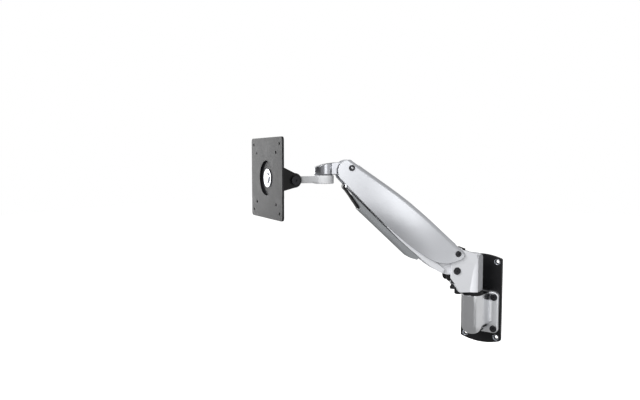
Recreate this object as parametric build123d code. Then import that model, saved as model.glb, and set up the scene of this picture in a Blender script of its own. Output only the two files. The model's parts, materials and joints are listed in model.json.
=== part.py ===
from build123d import *
import os
from math import cos, radians, sin

# Wall arm with a gas spring. Millimetres, +Z up, wall face in the plane y = 0, arm reaching to -Y.

# Clearances
RUN_FIT = 0.05
SEAT_FIT = 0.02
SIDE_GAP = 0.4
FACE_GAP = 0.1

# Rest pose, as seen
REST_YAW = -46.0
REST_PITCH = 38.4
REST_HEAD_YAW = 18.0

# Wall plate
PLATE_WIDTH = 70.0
PLATE_EDGE_HEIGHT = 140.0
PLATE_BOW = 6.5
PLATE_THICKNESS = 6.0
PLATE_CORNER = 3.0
WALL_HOLE_SPACING_X = 54.0
WALL_HOLE_SPACING_Z = 130.0
WALL_HOLE_DIAMETER = 5.5
CUP_DIAMETER = 10.0
CUP_LIP = 0.8
CUP_SEAT_DEPTH = 2.4
CUP_PROUD = 0.4

# Wall socket
AXIS_TO_WALL = 48.0
SOCKET_TOP = 15.0
SOCKET_BOTTOM = -56.0
SOCKET_RADIUS = 17.0
SOCKET_WEB_HALF = 19.2
SOCKET_FLOOR = 15.0
SOCKET_FOOT_RISE = 4.5
SOCKET_FOOT_ROUND = 15.5
FLANGE_WIDTH = 64.0
FLANGE_THICKNESS = 8.0
FLANGE_CORNER = 8.0
FLANGE_ROUND = 2.0
WEB_ROUND = 5.0
SOCKET_SPOT_LENGTH = 20.0
SOCKET_SPOT_ROOM = 1.0
SOCKET_SCREW_SPACING = 50.6
SOCKET_SCREW_TOP_Z = 6.0
SOCKET_SCREW_BOTTOM_Z = -48.0
SOCKET_SCREW_SHANK = 6.0
SOCKET_SCREW_HEAD = 11.5
SOCKET_SCREW_HEAD_HEIGHT = 3.0
HEX_KEY = 4.0
HEX_DEPTH = 2.0
HEAD_ROUND = 0.6

# Shoulder swivel
SPINDLE_DIAMETER = 20.0
SPINDLE_IN_SHOULDER = 34.0
BUSH_WALL = 3.0
BUSH_LENGTH = 16.0
BEARING_DISC_DIAMETER = 34.4
BEARING_DISC_THICKNESS = 6.0

# Shoulder casting
SHOULDER_RADIUS = 17.0
SHOULDER_TOP_ROUND = 9.0
SHOULDER_REAR_TOP = 84.0
SHOULDER_FACET_REACH = 13.4
SHOULDER_FACET_TURN = 45.0
SHOULDER_FORK_TOP_RISE = 5.5
SHOULDER_FOOT_HALF_WIDTH = 13.6
SHOULDER_HEAD_HALF_WIDTH = 17.0
SHOULDER_FRONT = 43.5
SHOULDER_FOOT_REACH = 27.0
SHOULDER_FOOT_RISE = 15.5
SHOULDER_CHIN_REACH = 37.0
SHOULDER_CHIN_Z = 45.0
FORK_INNER = 12.7
FORK_FLOOR_DROP = 23.7
FORK_BACK_GAP = 1.6
BUFFER_THICKNESS = 3.6
BUFFER_RISE = 2.0
BUFFER_HEIGHT = 12.0

# Link parallelogram
PIVOT_REACH = 33.5
UPPER_PIVOT_Z = 85.7
PIVOT_DROP = 28.5
LINK_LENGTH = 223.0
UPPER_BOSS_RADIUS = 10.5
PIVOT_BOLT_DIAMETER = 6.0
PIVOT_BOLT_HEAD = 9.4
PIVOT_BOLT_HEAD_HEIGHT = 1.8
PIVOT_BUSH_WALL = 1.5
STUB_DIAMETER = 8.0
STUB_HEAD = 12.0
STUB_HEAD_HEIGHT = 1.5

# Upper shell
SHELL_WALL = 2.5
SHELL_SHOULDER_HALF = 20.4
SHELL_BELLY_HALF = 24.0
SHELL_ELBOW_HALF = 17.6
SHELL_SHOULDER_TOP = 10.5
SHELL_BELLY_TOP = 14.4
SHELL_ELBOW_TOP = 11.5
SHELL_SHOULDER_TUCK = 0.8
SHELL_BELLY_TUCK = 6.0
SHELL_ELBOW_TUCK = 0.6
SHELL_TOP_ROUND = 7.0
SHELL_WAIST = 10.0
SHELL_DEPTH = 46.0
SHELL_SHOULDER_END = 10.5
SHELL_ELBOW_END = 18.0
SHELL_ELBOW_END_DROP = 6.5
SHELL_LIP_DEPTH = 37.2
SHELL_LIP_START = 50.0
SHELL_LIP_END = 113.0
SHELL_LIP_HEEL = (20.0, 32.0)
SHELL_LIP_NECK = (205.0, 27.0)
SHELL_SLOT_GAP = 2.0
SHELL_ELBOW_SLOT = 7.0
SHELL_ELBOW_SLOT_GAP = 2.8
SPOT_DEPTH = 0.6

# Lower link
LINK_CHEEK_INNER = 9.6
LINK_CHEEK_WALL = 2.6
LINK_CHEEK_RISE = 6.0
LINK_BELLY_S = 59.0
LINK_BELLY_DEPTH = 21.0
LINK_HEEL = (10.0, 14.9)
LINK_WAIST = (130.0, 16.3)
LINK_FLOOR_START = 42.0
LINK_FLOOR_END = 150.0
LINK_FLOOR_DEPTH = 9.0
LINK_FLOOR_WALL = 2.0
LINK_HEEL_SLOPE = 0.5
LINK_SKIN_START = 18.0
LINK_SKIN_END = 136.0
LINK_SKIN_TOP = (10.0, 12.5)
LINK_SKIN_OUTER = 15.6
LINK_SHOULDER_RADIUS = 10.0
LINK_ELBOW_RADIUS = 5.4
LINK_BUSH_WALL = 1.6
ELBOW_PIN_DIAMETER = 5.0
ELBOW_PIN_BUSH_WALL = 1.2
CLIP_WALL = 1.3
CLIP_THICKNESS = 0.8

# Cable cover, cable loop and bump pads under the lower link
COVER_START = 66.0
COVER_START_TOP = 21.8
COVER_START_DEPTH = 26.4
COVER_CHIN = (77.5, 30.8)
COVER_MIDDLE = (118.0, 19.0)
COVER_SHOULDER = (150.0, 16.2)
COVER_END_SETBACK = 33.0
COVER_END = LINK_LENGTH - COVER_END_SETBACK
COVER_END_TOP = 11.8
COVER_END_DEPTH = 21.2
COVER_TAIL_ROOT_DEPTH = 17.4
COVER_TAIL_SETBACK = 10.0
COVER_TAIL = (LINK_LENGTH - COVER_TAIL_SETBACK, 10.4)
COVER_TAIL_TOP = 9.2
COVER_HALF_WIDTH = 17.0
COVER_CHAMFER = 2.2
COVER_WALL = 2.0
LOOP_HALF_WIDTH = 8.0
LOOP_STRIP = 3.0
LOOP_DIP = 9.2
LOOP_TOE = (7.6, 8.0)
LOOP_TIP = (9.0, 4.4)
PAD_OUTLINE = ((-4.5, 12.0), (-4.5, 16.5), (-1.5, 20.8), (2.2, 20.6), (6.8, 17.0), (6.8, 12.0))
PAD_INNER = 5.8

# Gas spring and its adjuster
ANCHOR_DROP = 18.0
SPRING_FRONT_S = 165.0
SPRING_FRONT_T = -8.0
SPRING_LINE_ANGLE = 2.73
CYLINDER_DIAMETER = 18.0
CYLINDER_BORE = 13.0
CYLINDER_LENGTH = 112.0
CYLINDER_END_WALL = 5.0
FRONT_EYE_RADIUS = 7.0
FRONT_EYE_HALF = 6.0
FRONT_PIN_DIAMETER = 6.0
FRONT_PIN_HALF = 13.0
FRONT_BOSS_RADIUS = 5.0
ROD_DIAMETER = 8.0
ROD_IN_CYLINDER = 42.0
PISTON_LENGTH = 8.0
GUIDE_LENGTH = 8.0
TRUNNION_DIAMETER = 5.0
OPEN_PIVOT_ROOM = 4.0
EYE_WALL = 2.2
EYE_ARM_INNER = 6.6
EYE_ARM_OUTER = 9.0
EYE_BRIDGE_START = 14.0
EYE_BRIDGE_LENGTH = 6.0
ADJUSTER_DIAMETER = 8.0
ADJUSTER_TOP_GAP = 5.0
KNOB_DIAMETER = 11.0
KNOB_HEIGHT = 4.0
KNOB_POCKET_GAP = 0.5
KNOB_CEILING = 4.2
STOP_REACH = 25.2
STOP_DIAMETER = 11.6
STOP_DROP = 5.0
STOP_HEIGHT = 8.4
STOP_SHANK_DIAMETER = 5.0
STOP_SHANK_LENGTH = 5.0
STOP_ROUND = 2.0
NUT_HALF = 5.8
NUT_HEIGHT = 10.0

# Elbow casting
HUB_REACH = 42.0
HUB_RADIUS = 15.6
TONGUE_HALF = 11.0
ELBOW_BOSS_RADIUS = 7.8
ELBOW_LUG_RADIUS = 6.0
ELBOW_SIDE_GAP = 1.7
TONGUE_BOTTOM_DROP = 10.4
TONGUE_TOP_RISE = 8.7
HUB_TOP_RISE = 0.5
ELBOW_EDGE_ROUND = 1.5

# Head swivel and neck
SWIVEL_WASHER_THICKNESS = 0.8
PUCK_RADIUS = 16.0
PUCK_HEIGHT = 13.2
PUCK_ROUND = 1.5
SWIVEL_BOLT_DIAMETER = 10.0
SWIVEL_BOLT_HEAD = 18.0
SWIVEL_BOLT_HEAD_HEIGHT = 5.0
SWIVEL_BOLT_IN_HUB = 10.0
SWIVEL_BUSH_WALL = 2.0
NECK_HALF = 9.0
TILT_REACH = 58.0
BARREL_RADIUS = 10.0
BARREL_HALF = 14.0

# Tilt bracket
EAR_GAP = 0.9
EAR_WALL = 4.0
EAR_RADIUS = 11.0
BRACKET_HEIGHT = 45.0
BRACKET_WEB = 4.0
TILT_AXLE_DIAMETER = 8.0
TILT_BUSH_WALL = 1.5
TILT_HEAD = 14.0
TILT_HEAD_HEIGHT = 4.5
HEAD_FRONT_REACH = 96.5
HEAD_PLATE_RISE = 3.6

# Head plate
HEAD_PLATE_SIZE = 120.0
HEAD_PLATE_THICKNESS = 3.0
HEAD_PLATE_CORNER = 5.0
LARGE_PATTERN = 100.0
SMALL_PATTERN = 75.0
PATTERN_HOLE = 4.6
DISC_WINDOW = 52.0
DISC_DIAMETER = 64.0
DISC_THICKNESS = 2.5
CENTRE_BOLT_DIAMETER = 10.0
CENTRE_BOLT_HEAD = 16.0
CENTRE_BOLT_HEAD_HEIGHT = 1.6
CENTRE_WASHER = 27.0
CENTRE_WASHER_THICKNESS = 1.2
ROLL_WASHER = 40.0
ROLL_WASHER_THICKNESS = 1.0
CENTRE_NUT_HEIGHT = 5.0
CENTRE_NUT_LAND = 2.0

# Shared planes, axes and points
WALL = Plane.XZ
ARM = Plane(origin=(0, -AXIS_TO_WALL, 0), x_dir=(0, -1, 0), z_dir=(-1, 0, 0))
PITCH = radians(REST_PITCH)
LINK_DIRECTION = (0, -cos(PITCH), sin(PITCH))
UPPER_LINK = Plane(
    origin=(0, -(AXIS_TO_WALL + PIVOT_REACH), UPPER_PIVOT_Z), x_dir=LINK_DIRECTION, z_dir=(-1, 0, 0)
)
LOWER_PIVOT_Z = UPPER_PIVOT_Z - PIVOT_DROP
LOWER_LINK = Plane(
    origin=(0, -(AXIS_TO_WALL + PIVOT_REACH), LOWER_PIVOT_Z), x_dir=LINK_DIRECTION, z_dir=(-1, 0, 0)
)
ELBOW_REACH = PIVOT_REACH + LINK_LENGTH * cos(PITCH)
ELBOW_Z = UPPER_PIVOT_Z + LINK_LENGTH * sin(PITCH)
HUB_AXIS_REACH = ELBOW_REACH + HUB_REACH
SHOULDER_FOOT = SOCKET_TOP + BEARING_DISC_THICKNESS + FACE_GAP
BORE_RADIUS = SPINDLE_DIAMETER / 2 + BUSH_WALL
FORK_FLOOR = LOWER_PIVOT_Z - FORK_FLOOR_DROP
ANCHOR_Z = UPPER_PIVOT_Z - ANCHOR_DROP
LINK_CHEEK_OUTER = LINK_CHEEK_INNER + LINK_CHEEK_WALL
HUB_BOTTOM = ELBOW_Z - TONGUE_BOTTOM_DROP
PUCK_TOP = HUB_BOTTOM - SWIVEL_WASHER_THICKNESS - FACE_GAP
PUCK_BOTTOM = PUCK_TOP - PUCK_HEIGHT
TILT_Z = (PUCK_TOP + PUCK_BOTTOM) / 2


def polygon(*points):
    return make_face(Polyline(*points, close=True))


def slab(plane, face, inner, outer):
    """Solid of a side outline between two lateral distances."""
    return extrude(plane * Pos(0, 0, -inner) * face, amount=inner - outer)


def pair(plane, face, inner, outer):
    """The same slab on both sides of the middle plane."""
    return [slab(plane, face, inner, outer), slab(plane, face, -outer, -inner)]


def cross_pin(plane, along, up, radius, inner, outer):
    return slab(plane, Pos(along, up) * Circle(radius), inner, outer)


def cross_ring(plane, along, up, outer_radius, inner_radius, inner, outer):
    ring = Circle(outer_radius) - Circle(inner_radius)
    return slab(plane, Pos(along, up) * ring, inner, outer)


def pillar(reach, radius, bottom, top):
    return Pos(0, -(AXIS_TO_WALL + reach), bottom) * extrude(Circle(radius), top - bottom)


def tube(reach, outer_radius, inner_radius, bottom, top):
    ring = Circle(outer_radius) - Circle(inner_radius)
    return Pos(0, -(AXIS_TO_WALL + reach), bottom) * extrude(ring, top - bottom)


def screw(head_diameter, head_height, shank_diameter, shank_length):
    """Round-headed screw with a hexagon recess: seat at the origin, head towards +Z."""
    head = extrude(Circle(head_diameter / 2), head_height)
    head = fillet(head.edges().group_by(Axis.Z)[-1], HEAD_ROUND)
    shank = Pos(0, 0, -shank_length) * extrude(Circle(shank_diameter / 2), shank_length)
    recess = Pos(0, 0, head_height - HEX_DEPTH) * extrude(RegularPolygon(HEX_KEY / 2, 6), HEX_DEPTH)
    return head + shank - recess


def side_plane(plane, along, up, lateral):
    """Plane on a side face, its normal pointing away from the middle plane."""
    side = 1 if lateral > 0 else -1
    return Plane(
        origin=(plane * Pos(along, up, -lateral)).position, x_dir=plane.x_dir, z_dir=(side, 0, 0)
    )


def corners(spacing_x, spacing_y):
    return [
        Pos(side * spacing_x / 2, end * spacing_y / 2)
        for side in (-1, 1)
        for end in (-1, 1)
    ]


# Wall mount
def socket_screw_places():
    return [
        Pos(side * SOCKET_SCREW_SPACING / 2, height)
        for side in (-1, 1)
        for height in (SOCKET_SCREW_BOTTOM_Z, SOCKET_SCREW_TOP_Z)
    ]


def make_wall_plate():
    half = PLATE_WIDTH / 2
    edge = PLATE_EDGE_HEIGHT / 2
    crown = edge + PLATE_BOW
    outline = make_face(
        [
            Line((half, -edge), (half, edge)),
            ThreePointArc((half, edge), (0, crown), (-half, edge)),
            Line((-half, edge), (-half, -edge)),
            ThreePointArc((-half, -edge), (0, -crown), (half, -edge)),
        ]
    )
    outline = fillet(outline.vertices(), PLATE_CORNER)
    plate = extrude(WALL * outline, PLATE_THICKNESS)
    for place in corners(WALL_HOLE_SPACING_X, WALL_HOLE_SPACING_Z):
        seat = Pos(0, 0, PLATE_THICKNESS - CUP_SEAT_DEPTH)
        plate -= extrude(WALL * place * Circle(WALL_HOLE_DIAMETER / 2), PLATE_THICKNESS)
        plate -= extrude(WALL * place * seat * Circle(CUP_DIAMETER / 2 + SEAT_FIT), CUP_SEAT_DEPTH)
    for place in socket_screw_places():
        plate -= extrude(WALL * place * Circle(SOCKET_SCREW_SHANK / 2 + SEAT_FIT), PLATE_THICKNESS)
    return plate


def make_hole_cups():
    height = CUP_SEAT_DEPTH + CUP_PROUD
    cup = extrude(Circle(CUP_DIAMETER / 2), height)
    cup -= Cone(
        WALL_HOLE_DIAMETER / 2,
        CUP_DIAMETER / 2 - CUP_LIP,
        height,
        align=(Align.CENTER, Align.CENTER, Align.MIN),
    )
    seat = Pos(0, 0, PLATE_THICKNESS - CUP_SEAT_DEPTH)
    return [WALL * place * seat * cup for place in corners(WALL_HOLE_SPACING_X, WALL_HOLE_SPACING_Z)]


def make_wall_socket():
    height = SOCKET_TOP - SOCKET_BOTTOM
    flange_front = PLATE_THICKNESS + FLANGE_THICKNESS
    seam = Line((-SOCKET_WEB_HALF, -flange_front), (SOCKET_WEB_HALF, -flange_front))
    plan = make_hull((Pos(0, -AXIS_TO_WALL) * Circle(SOCKET_RADIUS)).edges() + seam.edges())
    bulge_bottom = SOCKET_BOTTOM + SOCKET_FOOT_RISE
    bulge = Pos(0, 0, bulge_bottom) * extrude(plan, SOCKET_TOP - bulge_bottom)
    foot = bulge.edges().group_by(Axis.Z)[0].sort_by(Axis.Y)[:-1]
    bulge = fillet(foot, SOCKET_FOOT_ROUND)
    middle = Pos(0, (SOCKET_TOP + SOCKET_BOTTOM) / 2, PLATE_THICKNESS)
    flange = extrude(
        WALL * middle * RectangleRounded(FLANGE_WIDTH, height, FLANGE_CORNER), FLANGE_THICKNESS
    )
    flange = fillet(flange.edges().group_by(Axis.Y)[0], FLANGE_ROUND)
    socket = bulge + flange
    cove_bottom = bulge_bottom + SOCKET_FOOT_ROUND
    joined = plan + Pos(0, FLANGE_THICKNESS / 2 - flange_front) * Rectangle(FLANGE_WIDTH, FLANGE_THICKNESS)
    creases = [
        vertex
        for vertex in joined.vertices()
        if abs(abs(vertex.X) - SOCKET_WEB_HALF) < SEAT_FIT and abs(vertex.Y + flange_front) < SEAT_FIT
    ]
    coves = fillet(creases, WEB_ROUND) - joined
    socket += Pos(0, 0, cove_bottom) * extrude(coves, SOCKET_TOP - cove_bottom)
    socket -= pillar(0, BORE_RADIUS + SEAT_FIT, SOCKET_BOTTOM + SOCKET_FLOOR, SOCKET_TOP)
    for place in socket_screw_places():
        hole = Pos(0, 0, PLATE_THICKNESS) * Circle(SOCKET_SCREW_SHANK / 2 + SEAT_FIT)
        spot = Pos(0, 0, flange_front) * Circle(SOCKET_SCREW_HEAD / 2 + SOCKET_SPOT_ROOM)
        socket -= extrude(WALL * place * hole, FLANGE_THICKNESS)
        socket -= extrude(WALL * place * spot, SOCKET_SPOT_LENGTH)
    return socket


def make_socket_screws():
    length = PLATE_THICKNESS + FLANGE_THICKNESS
    one = screw(SOCKET_SCREW_HEAD, SOCKET_SCREW_HEAD_HEIGHT, SOCKET_SCREW_SHANK, length - FACE_GAP)
    seat = Pos(0, 0, length)
    return [WALL * place * seat * one for place in socket_screw_places()]


def make_bush(bottom):
    return tube(0, BORE_RADIUS, SPINDLE_DIAMETER / 2 + RUN_FIT, bottom, bottom + BUSH_LENGTH)


def make_bearing_disc():
    inner = SPINDLE_DIAMETER / 2 + RUN_FIT
    return tube(0, BEARING_DISC_DIAMETER / 2, inner, SOCKET_TOP, SOCKET_TOP + BEARING_DISC_THICKNESS)


# Shoulder
def make_spindle():
    bottom = SOCKET_BOTTOM + SOCKET_FLOOR + FACE_GAP
    return pillar(0, SPINDLE_DIAMETER / 2, bottom, SHOULDER_FOOT + SPINDLE_IN_SHOULDER)


def make_shoulder_casting():
    column = pillar(0, SHOULDER_RADIUS, SHOULDER_FOOT, SHOULDER_REAR_TOP)
    column = fillet(column.edges().group_by(Axis.Z)[-1], SHOULDER_TOP_ROUND)
    behind = Pos(0, SHOULDER_FACET_REACH + SHOULDER_RADIUS, 0)
    facet = behind * Box(4 * SHOULDER_RADIUS, 2 * SHOULDER_RADIUS, 4 * SHOULDER_REAR_TOP)
    for turn in (-SHOULDER_FACET_TURN, SHOULDER_FACET_TURN):
        column -= Pos(0, -AXIS_TO_WALL, 0) * Rot(0, 0, turn) * facet
    fork_top = UPPER_PIVOT_Z + SHOULDER_FORK_TOP_RISE
    crown = UPPER_PIVOT_Z + UPPER_BOSS_RADIUS
    foot_reach = SHOULDER_FOOT_REACH
    outline = polygon(
        (0, SHOULDER_FOOT),
        (foot_reach, SHOULDER_FOOT),
        (SHOULDER_CHIN_REACH, SHOULDER_FOOT + SHOULDER_FOOT_RISE),
        (SHOULDER_FRONT, SHOULDER_CHIN_Z),
        (PIVOT_REACH + UPPER_BOSS_RADIUS, UPPER_PIVOT_Z),
        (PIVOT_REACH, UPPER_PIVOT_Z),
        (PIVOT_REACH - UPPER_BOSS_RADIUS, fork_top),
        (0, SHOULDER_REAR_TOP),
    )
    outline += Pos(PIVOT_REACH, UPPER_PIVOT_Z) * Circle(UPPER_BOSS_RADIUS)
    front = polygon(
        (-SHOULDER_FOOT_HALF_WIDTH, SHOULDER_FOOT),
        (SHOULDER_FOOT_HALF_WIDTH, SHOULDER_FOOT),
        (SHOULDER_HEAD_HALF_WIDTH, LOWER_PIVOT_Z + PIVOT_DROP / 2),
        (SHOULDER_HEAD_HALF_WIDTH, crown),
        (-SHOULDER_HEAD_HALF_WIDTH, crown),
        (-SHOULDER_HEAD_HALF_WIDTH, LOWER_PIVOT_Z + PIVOT_DROP / 2),
    )
    depth = AXIS_TO_WALL + PIVOT_REACH + 2 * UPPER_BOSS_RADIUS
    width = 2 * SHOULDER_HEAD_HALF_WIDTH
    casting = column + (slab(ARM, outline, -width, width) & extrude(WALL * front, depth))
    slot_back = SHOULDER_RADIUS + FORK_BACK_GAP
    slot = polygon(
        (slot_back, FORK_FLOOR),
        (2 * SHOULDER_FRONT, FORK_FLOOR),
        (2 * SHOULDER_FRONT, 2 * crown),
        (slot_back, 2 * crown),
    )
    casting -= slab(ARM, slot, -FORK_INNER, FORK_INNER)
    casting -= pillar(
        0, SPINDLE_DIAMETER / 2 + SEAT_FIT, SHOULDER_FOOT, SHOULDER_FOOT + SPINDLE_IN_SHOULDER
    )
    bush_radius = PIVOT_BOLT_DIAMETER / 2 + PIVOT_BUSH_WALL + SEAT_FIT
    casting -= cross_pin(ARM, PIVOT_REACH, UPPER_PIVOT_Z, bush_radius, -width, width)
    stub_radius = STUB_DIAMETER / 2 + SEAT_FIT
    casting -= cross_pin(ARM, PIVOT_REACH, LOWER_PIVOT_Z, stub_radius, -width, width)
    spot = Pos(PIVOT_REACH, LOWER_PIVOT_Z) * Circle(STUB_HEAD / 2 + FACE_GAP)
    for face in pair(ARM, spot, stub_seat(), width):
        casting -= face
    stop_top = SHOULDER_FOOT - STOP_DROP + STOP_HEIGHT
    casting -= pillar(STOP_REACH, STOP_DIAMETER / 2 + KNOB_POCKET_GAP, 0, stop_top + FACE_GAP)
    casting -= pillar(STOP_REACH, STOP_SHANK_DIAMETER / 2 + SEAT_FIT, 0, stop_top + STOP_SHANK_LENGTH)
    ceiling = FORK_FLOOR - KNOB_CEILING
    casting -= pillar(PIVOT_REACH, KNOB_DIAMETER / 2 + KNOB_POCKET_GAP, 0, ceiling)
    casting -= pillar(PIVOT_REACH, ADJUSTER_DIAMETER / 2 + RUN_FIT, 0, crown)
    return casting


def make_fork_buffer():
    back = SHOULDER_RADIUS + FORK_BACK_GAP
    top = UPPER_PIVOT_Z + SHOULDER_FORK_TOP_RISE + BUFFER_RISE
    outline = polygon(
        (back + FACE_GAP, top),
        (back + BUFFER_THICKNESS, top),
        (back + BUFFER_THICKNESS, top - BUFFER_HEIGHT),
        (back + FACE_GAP, top - BUFFER_HEIGHT),
    )
    half = FORK_INNER - FACE_GAP
    return slab(ARM, outline, -half, half)


def make_swivel_stop():
    """Stop post under the casting's chin, in front of the bearing disc."""
    bottom = SHOULDER_FOOT - STOP_DROP
    top = bottom + STOP_HEIGHT
    post = pillar(STOP_REACH, STOP_DIAMETER / 2, bottom, top)
    post = fillet(post.edges().group_by(Axis.Z)[0], STOP_ROUND)
    shank_top = top + STOP_SHANK_LENGTH - FACE_GAP
    return post + pillar(STOP_REACH, STOP_SHANK_DIAMETER / 2, top, shank_top)


def stub_seat():
    """Lateral distance of the flat that a lower pivot screw's head sits on."""
    rise = LOWER_PIVOT_Z + PIVOT_DROP / 2 - SHOULDER_FOOT
    slope = (SHOULDER_HEAD_HALF_WIDTH - SHOULDER_FOOT_HALF_WIDTH) / rise
    return SHOULDER_FOOT_HALF_WIDTH + slope * (LOWER_PIVOT_Z - STUB_HEAD / 2 - SHOULDER_FOOT)


def make_shoulder_bushes():
    outer = PIVOT_BOLT_DIAMETER / 2 + PIVOT_BUSH_WALL
    inner = PIVOT_BOLT_DIAMETER / 2 + RUN_FIT
    ring = Pos(PIVOT_REACH, UPPER_PIVOT_Z) * (Circle(outer) - Circle(inner))
    return pair(ARM, ring, FORK_INNER, SHOULDER_HEAD_HALF_WIDTH)


def make_lower_pivot_screws():
    length = stub_seat() - LINK_CHEEK_INNER
    one = screw(STUB_HEAD, STUB_HEAD_HEIGHT, STUB_DIAMETER, length)
    return [
        side_plane(ARM, PIVOT_REACH, LOWER_PIVOT_Z, side * stub_seat()) * one
        for side in (-1, 1)
    ]


# Tension adjuster
def make_adjuster_screw():
    top = UPPER_PIVOT_Z - PIVOT_BOLT_DIAMETER / 2 - ADJUSTER_TOP_GAP
    knob_top = FORK_FLOOR - KNOB_CEILING - FACE_GAP
    knob = pillar(PIVOT_REACH, KNOB_DIAMETER / 2, knob_top - KNOB_HEIGHT, knob_top)
    knob = fillet(knob.edges().group_by(Axis.Z)[0], HEAD_ROUND)
    socket = Pos(0, -(AXIS_TO_WALL + PIVOT_REACH), knob_top - KNOB_HEIGHT)
    knob -= socket * extrude(RegularPolygon(HEX_KEY / 2, 6), HEX_DEPTH)
    return knob + pillar(PIVOT_REACH, ADJUSTER_DIAMETER / 2, knob_top, top)


def make_adjuster_clip():
    inner = ADJUSTER_DIAMETER / 2 + SEAT_FIT
    bottom = FORK_FLOOR + FACE_GAP
    return tube(PIVOT_REACH, inner + CLIP_WALL, inner, bottom, bottom + CLIP_THICKNESS)


def make_anchor_nut():
    block = Pos(0, -(AXIS_TO_WALL + PIVOT_REACH), ANCHOR_Z) * Box(2 * NUT_HALF, 2 * NUT_HALF, NUT_HEIGHT)
    half = EYE_ARM_OUTER - SIDE_GAP
    block += cross_pin(ARM, PIVOT_REACH, ANCHOR_Z, TRUNNION_DIAMETER / 2, -half, half)
    return block - pillar(PIVOT_REACH, ADJUSTER_DIAMETER / 2 + RUN_FIT, 0, UPPER_PIVOT_Z)


# Upper link
def shell_section(along, half, top, tuck, inset):
    """Closed arch across the link, its sides tucked in towards the lip."""
    width = half - inset
    height = top - inset
    depth = SHELL_DEPTH + inset
    place = Plane(
        origin=(UPPER_LINK * Pos(along, 0)).position, x_dir=(1, 0, 0), z_dir=LINK_DIRECTION
    )
    face = make_face(
        [
            Line((-width, height), (width, height)),
            ThreePointArc((width, height), (width, -SHELL_WAIST), (width - tuck, -depth)),
            Line((width - tuck, -depth), (tuck - width, -depth)),
            ThreePointArc((tuck - width, -depth), (-width, -SHELL_WAIST), (-width, height)),
        ]
    )
    rounds = face.vertices().group_by(Axis.Y)[-1]
    return place * fillet(rounds, SHELL_TOP_ROUND - inset)


def shell_form(inset):
    """The shell's solid form, full length, drawn in by the inset."""
    belly = (SHELL_LIP_START + SHELL_LIP_END) / 2
    elbow_end = LINK_LENGTH + SHELL_ELBOW_END
    shoulder = (SHELL_SHOULDER_HALF, SHELL_SHOULDER_TOP, SHELL_SHOULDER_TUCK)
    elbow = (SHELL_ELBOW_HALF, SHELL_ELBOW_TOP, SHELL_ELBOW_TUCK)
    sections = [
        shell_section(-2 * SHELL_SHOULDER_END, *shoulder, inset),
        shell_section(SHELL_SHOULDER_END, *shoulder, inset),
        shell_section(belly, SHELL_BELLY_HALF, SHELL_BELLY_TOP, SHELL_BELLY_TUCK, inset),
        shell_section(LINK_LENGTH - SHELL_ELBOW_END, *elbow, inset),
        shell_section(elbow_end + SHELL_ELBOW_END, *elbow, inset),
    ]
    return loft(sections)


def shell_outline():
    """Side outline of the shell: round ends and the curved lower lip."""
    ceiling = 3 * SHELL_BELLY_TOP
    shoulder_round = SHELL_SHOULDER_END * sin(radians(45))
    elbow_foot = (LINK_LENGTH, -SHELL_ELBOW_END_DROP - SHELL_ELBOW_END)
    lip = Spline(
        (-shoulder_round, -shoulder_round),
        (SHELL_LIP_HEEL[0], -SHELL_LIP_HEEL[1]),
        (SHELL_LIP_START, -SHELL_LIP_DEPTH),
        (SHELL_LIP_END, -SHELL_LIP_DEPTH),
        (SHELL_LIP_NECK[0], -SHELL_LIP_NECK[1]),
        elbow_foot,
    )
    body = make_face(
        [
            lip,
            Line(elbow_foot, (LINK_LENGTH, ceiling)),
            Line((LINK_LENGTH, ceiling), (0, ceiling)),
            Line((0, ceiling), (0, 0)),
            Line((0, 0), (-shoulder_round, -shoulder_round)),
        ]
    )
    body += Circle(SHELL_SHOULDER_END)
    return body + Pos(LINK_LENGTH, -SHELL_ELBOW_END_DROP) * Circle(SHELL_ELBOW_END)


def pivot_places():
    """Each upper pivot: distance along the link and the lateral seat of its bolt head."""
    return [(0, SHELL_SHOULDER_HALF - SPOT_DEPTH), (LINK_LENGTH, SHELL_ELBOW_HALF - SPOT_DEPTH)]


def make_upper_shell():
    reach = 2 * SHELL_BELLY_HALF
    shell = (shell_form(0) - shell_form(SHELL_WALL)) & slab(UPPER_LINK, shell_outline(), -reach, reach)
    shoulder_slot = UPPER_BOSS_RADIUS + SHELL_SLOT_GAP
    elbow_slot = LINK_LENGTH - SHELL_ELBOW_SLOT
    elbow_slot_half = TONGUE_HALF + SHELL_ELBOW_SLOT_GAP
    ceiling = 3 * SHELL_BELLY_TOP
    shell -= slab(
        UPPER_LINK,
        polygon((-reach, 0), (shoulder_slot, 0), (shoulder_slot, ceiling), (-reach, ceiling)),
        -SHOULDER_HEAD_HALF_WIDTH - SIDE_GAP,
        SHOULDER_HEAD_HALF_WIDTH + SIDE_GAP,
    )
    far = LINK_LENGTH + reach
    shell -= slab(
        UPPER_LINK,
        polygon((elbow_slot, 0), (far, 0), (far, ceiling), (elbow_slot, ceiling)),
        -elbow_slot_half,
        elbow_slot_half,
    )
    for along, seat in pivot_places():
        spot = Pos(along, 0) * Circle(PIVOT_BOLT_HEAD / 2 + SIDE_GAP)
        for cut in pair(UPPER_LINK, spot, seat, reach):
            shell -= cut
        shell -= cross_pin(UPPER_LINK, along, 0, PIVOT_BOLT_DIAMETER / 2 + SEAT_FIT, -reach, reach)
    boss = Pos(SPRING_FRONT_S, SPRING_FRONT_T) * Circle(FRONT_BOSS_RADIUS)
    for block in pair(UPPER_LINK, boss, LINK_CHEEK_INNER, SHELL_BELLY_HALF):
        shell += block & shell_form(SHELL_WALL / 2)
    pin_hole = FRONT_PIN_HALF + FACE_GAP
    return shell - cross_pin(
        UPPER_LINK, SPRING_FRONT_S, SPRING_FRONT_T, FRONT_PIN_DIAMETER / 2 + SEAT_FIT, -pin_hole, pin_hole
    )


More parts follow.
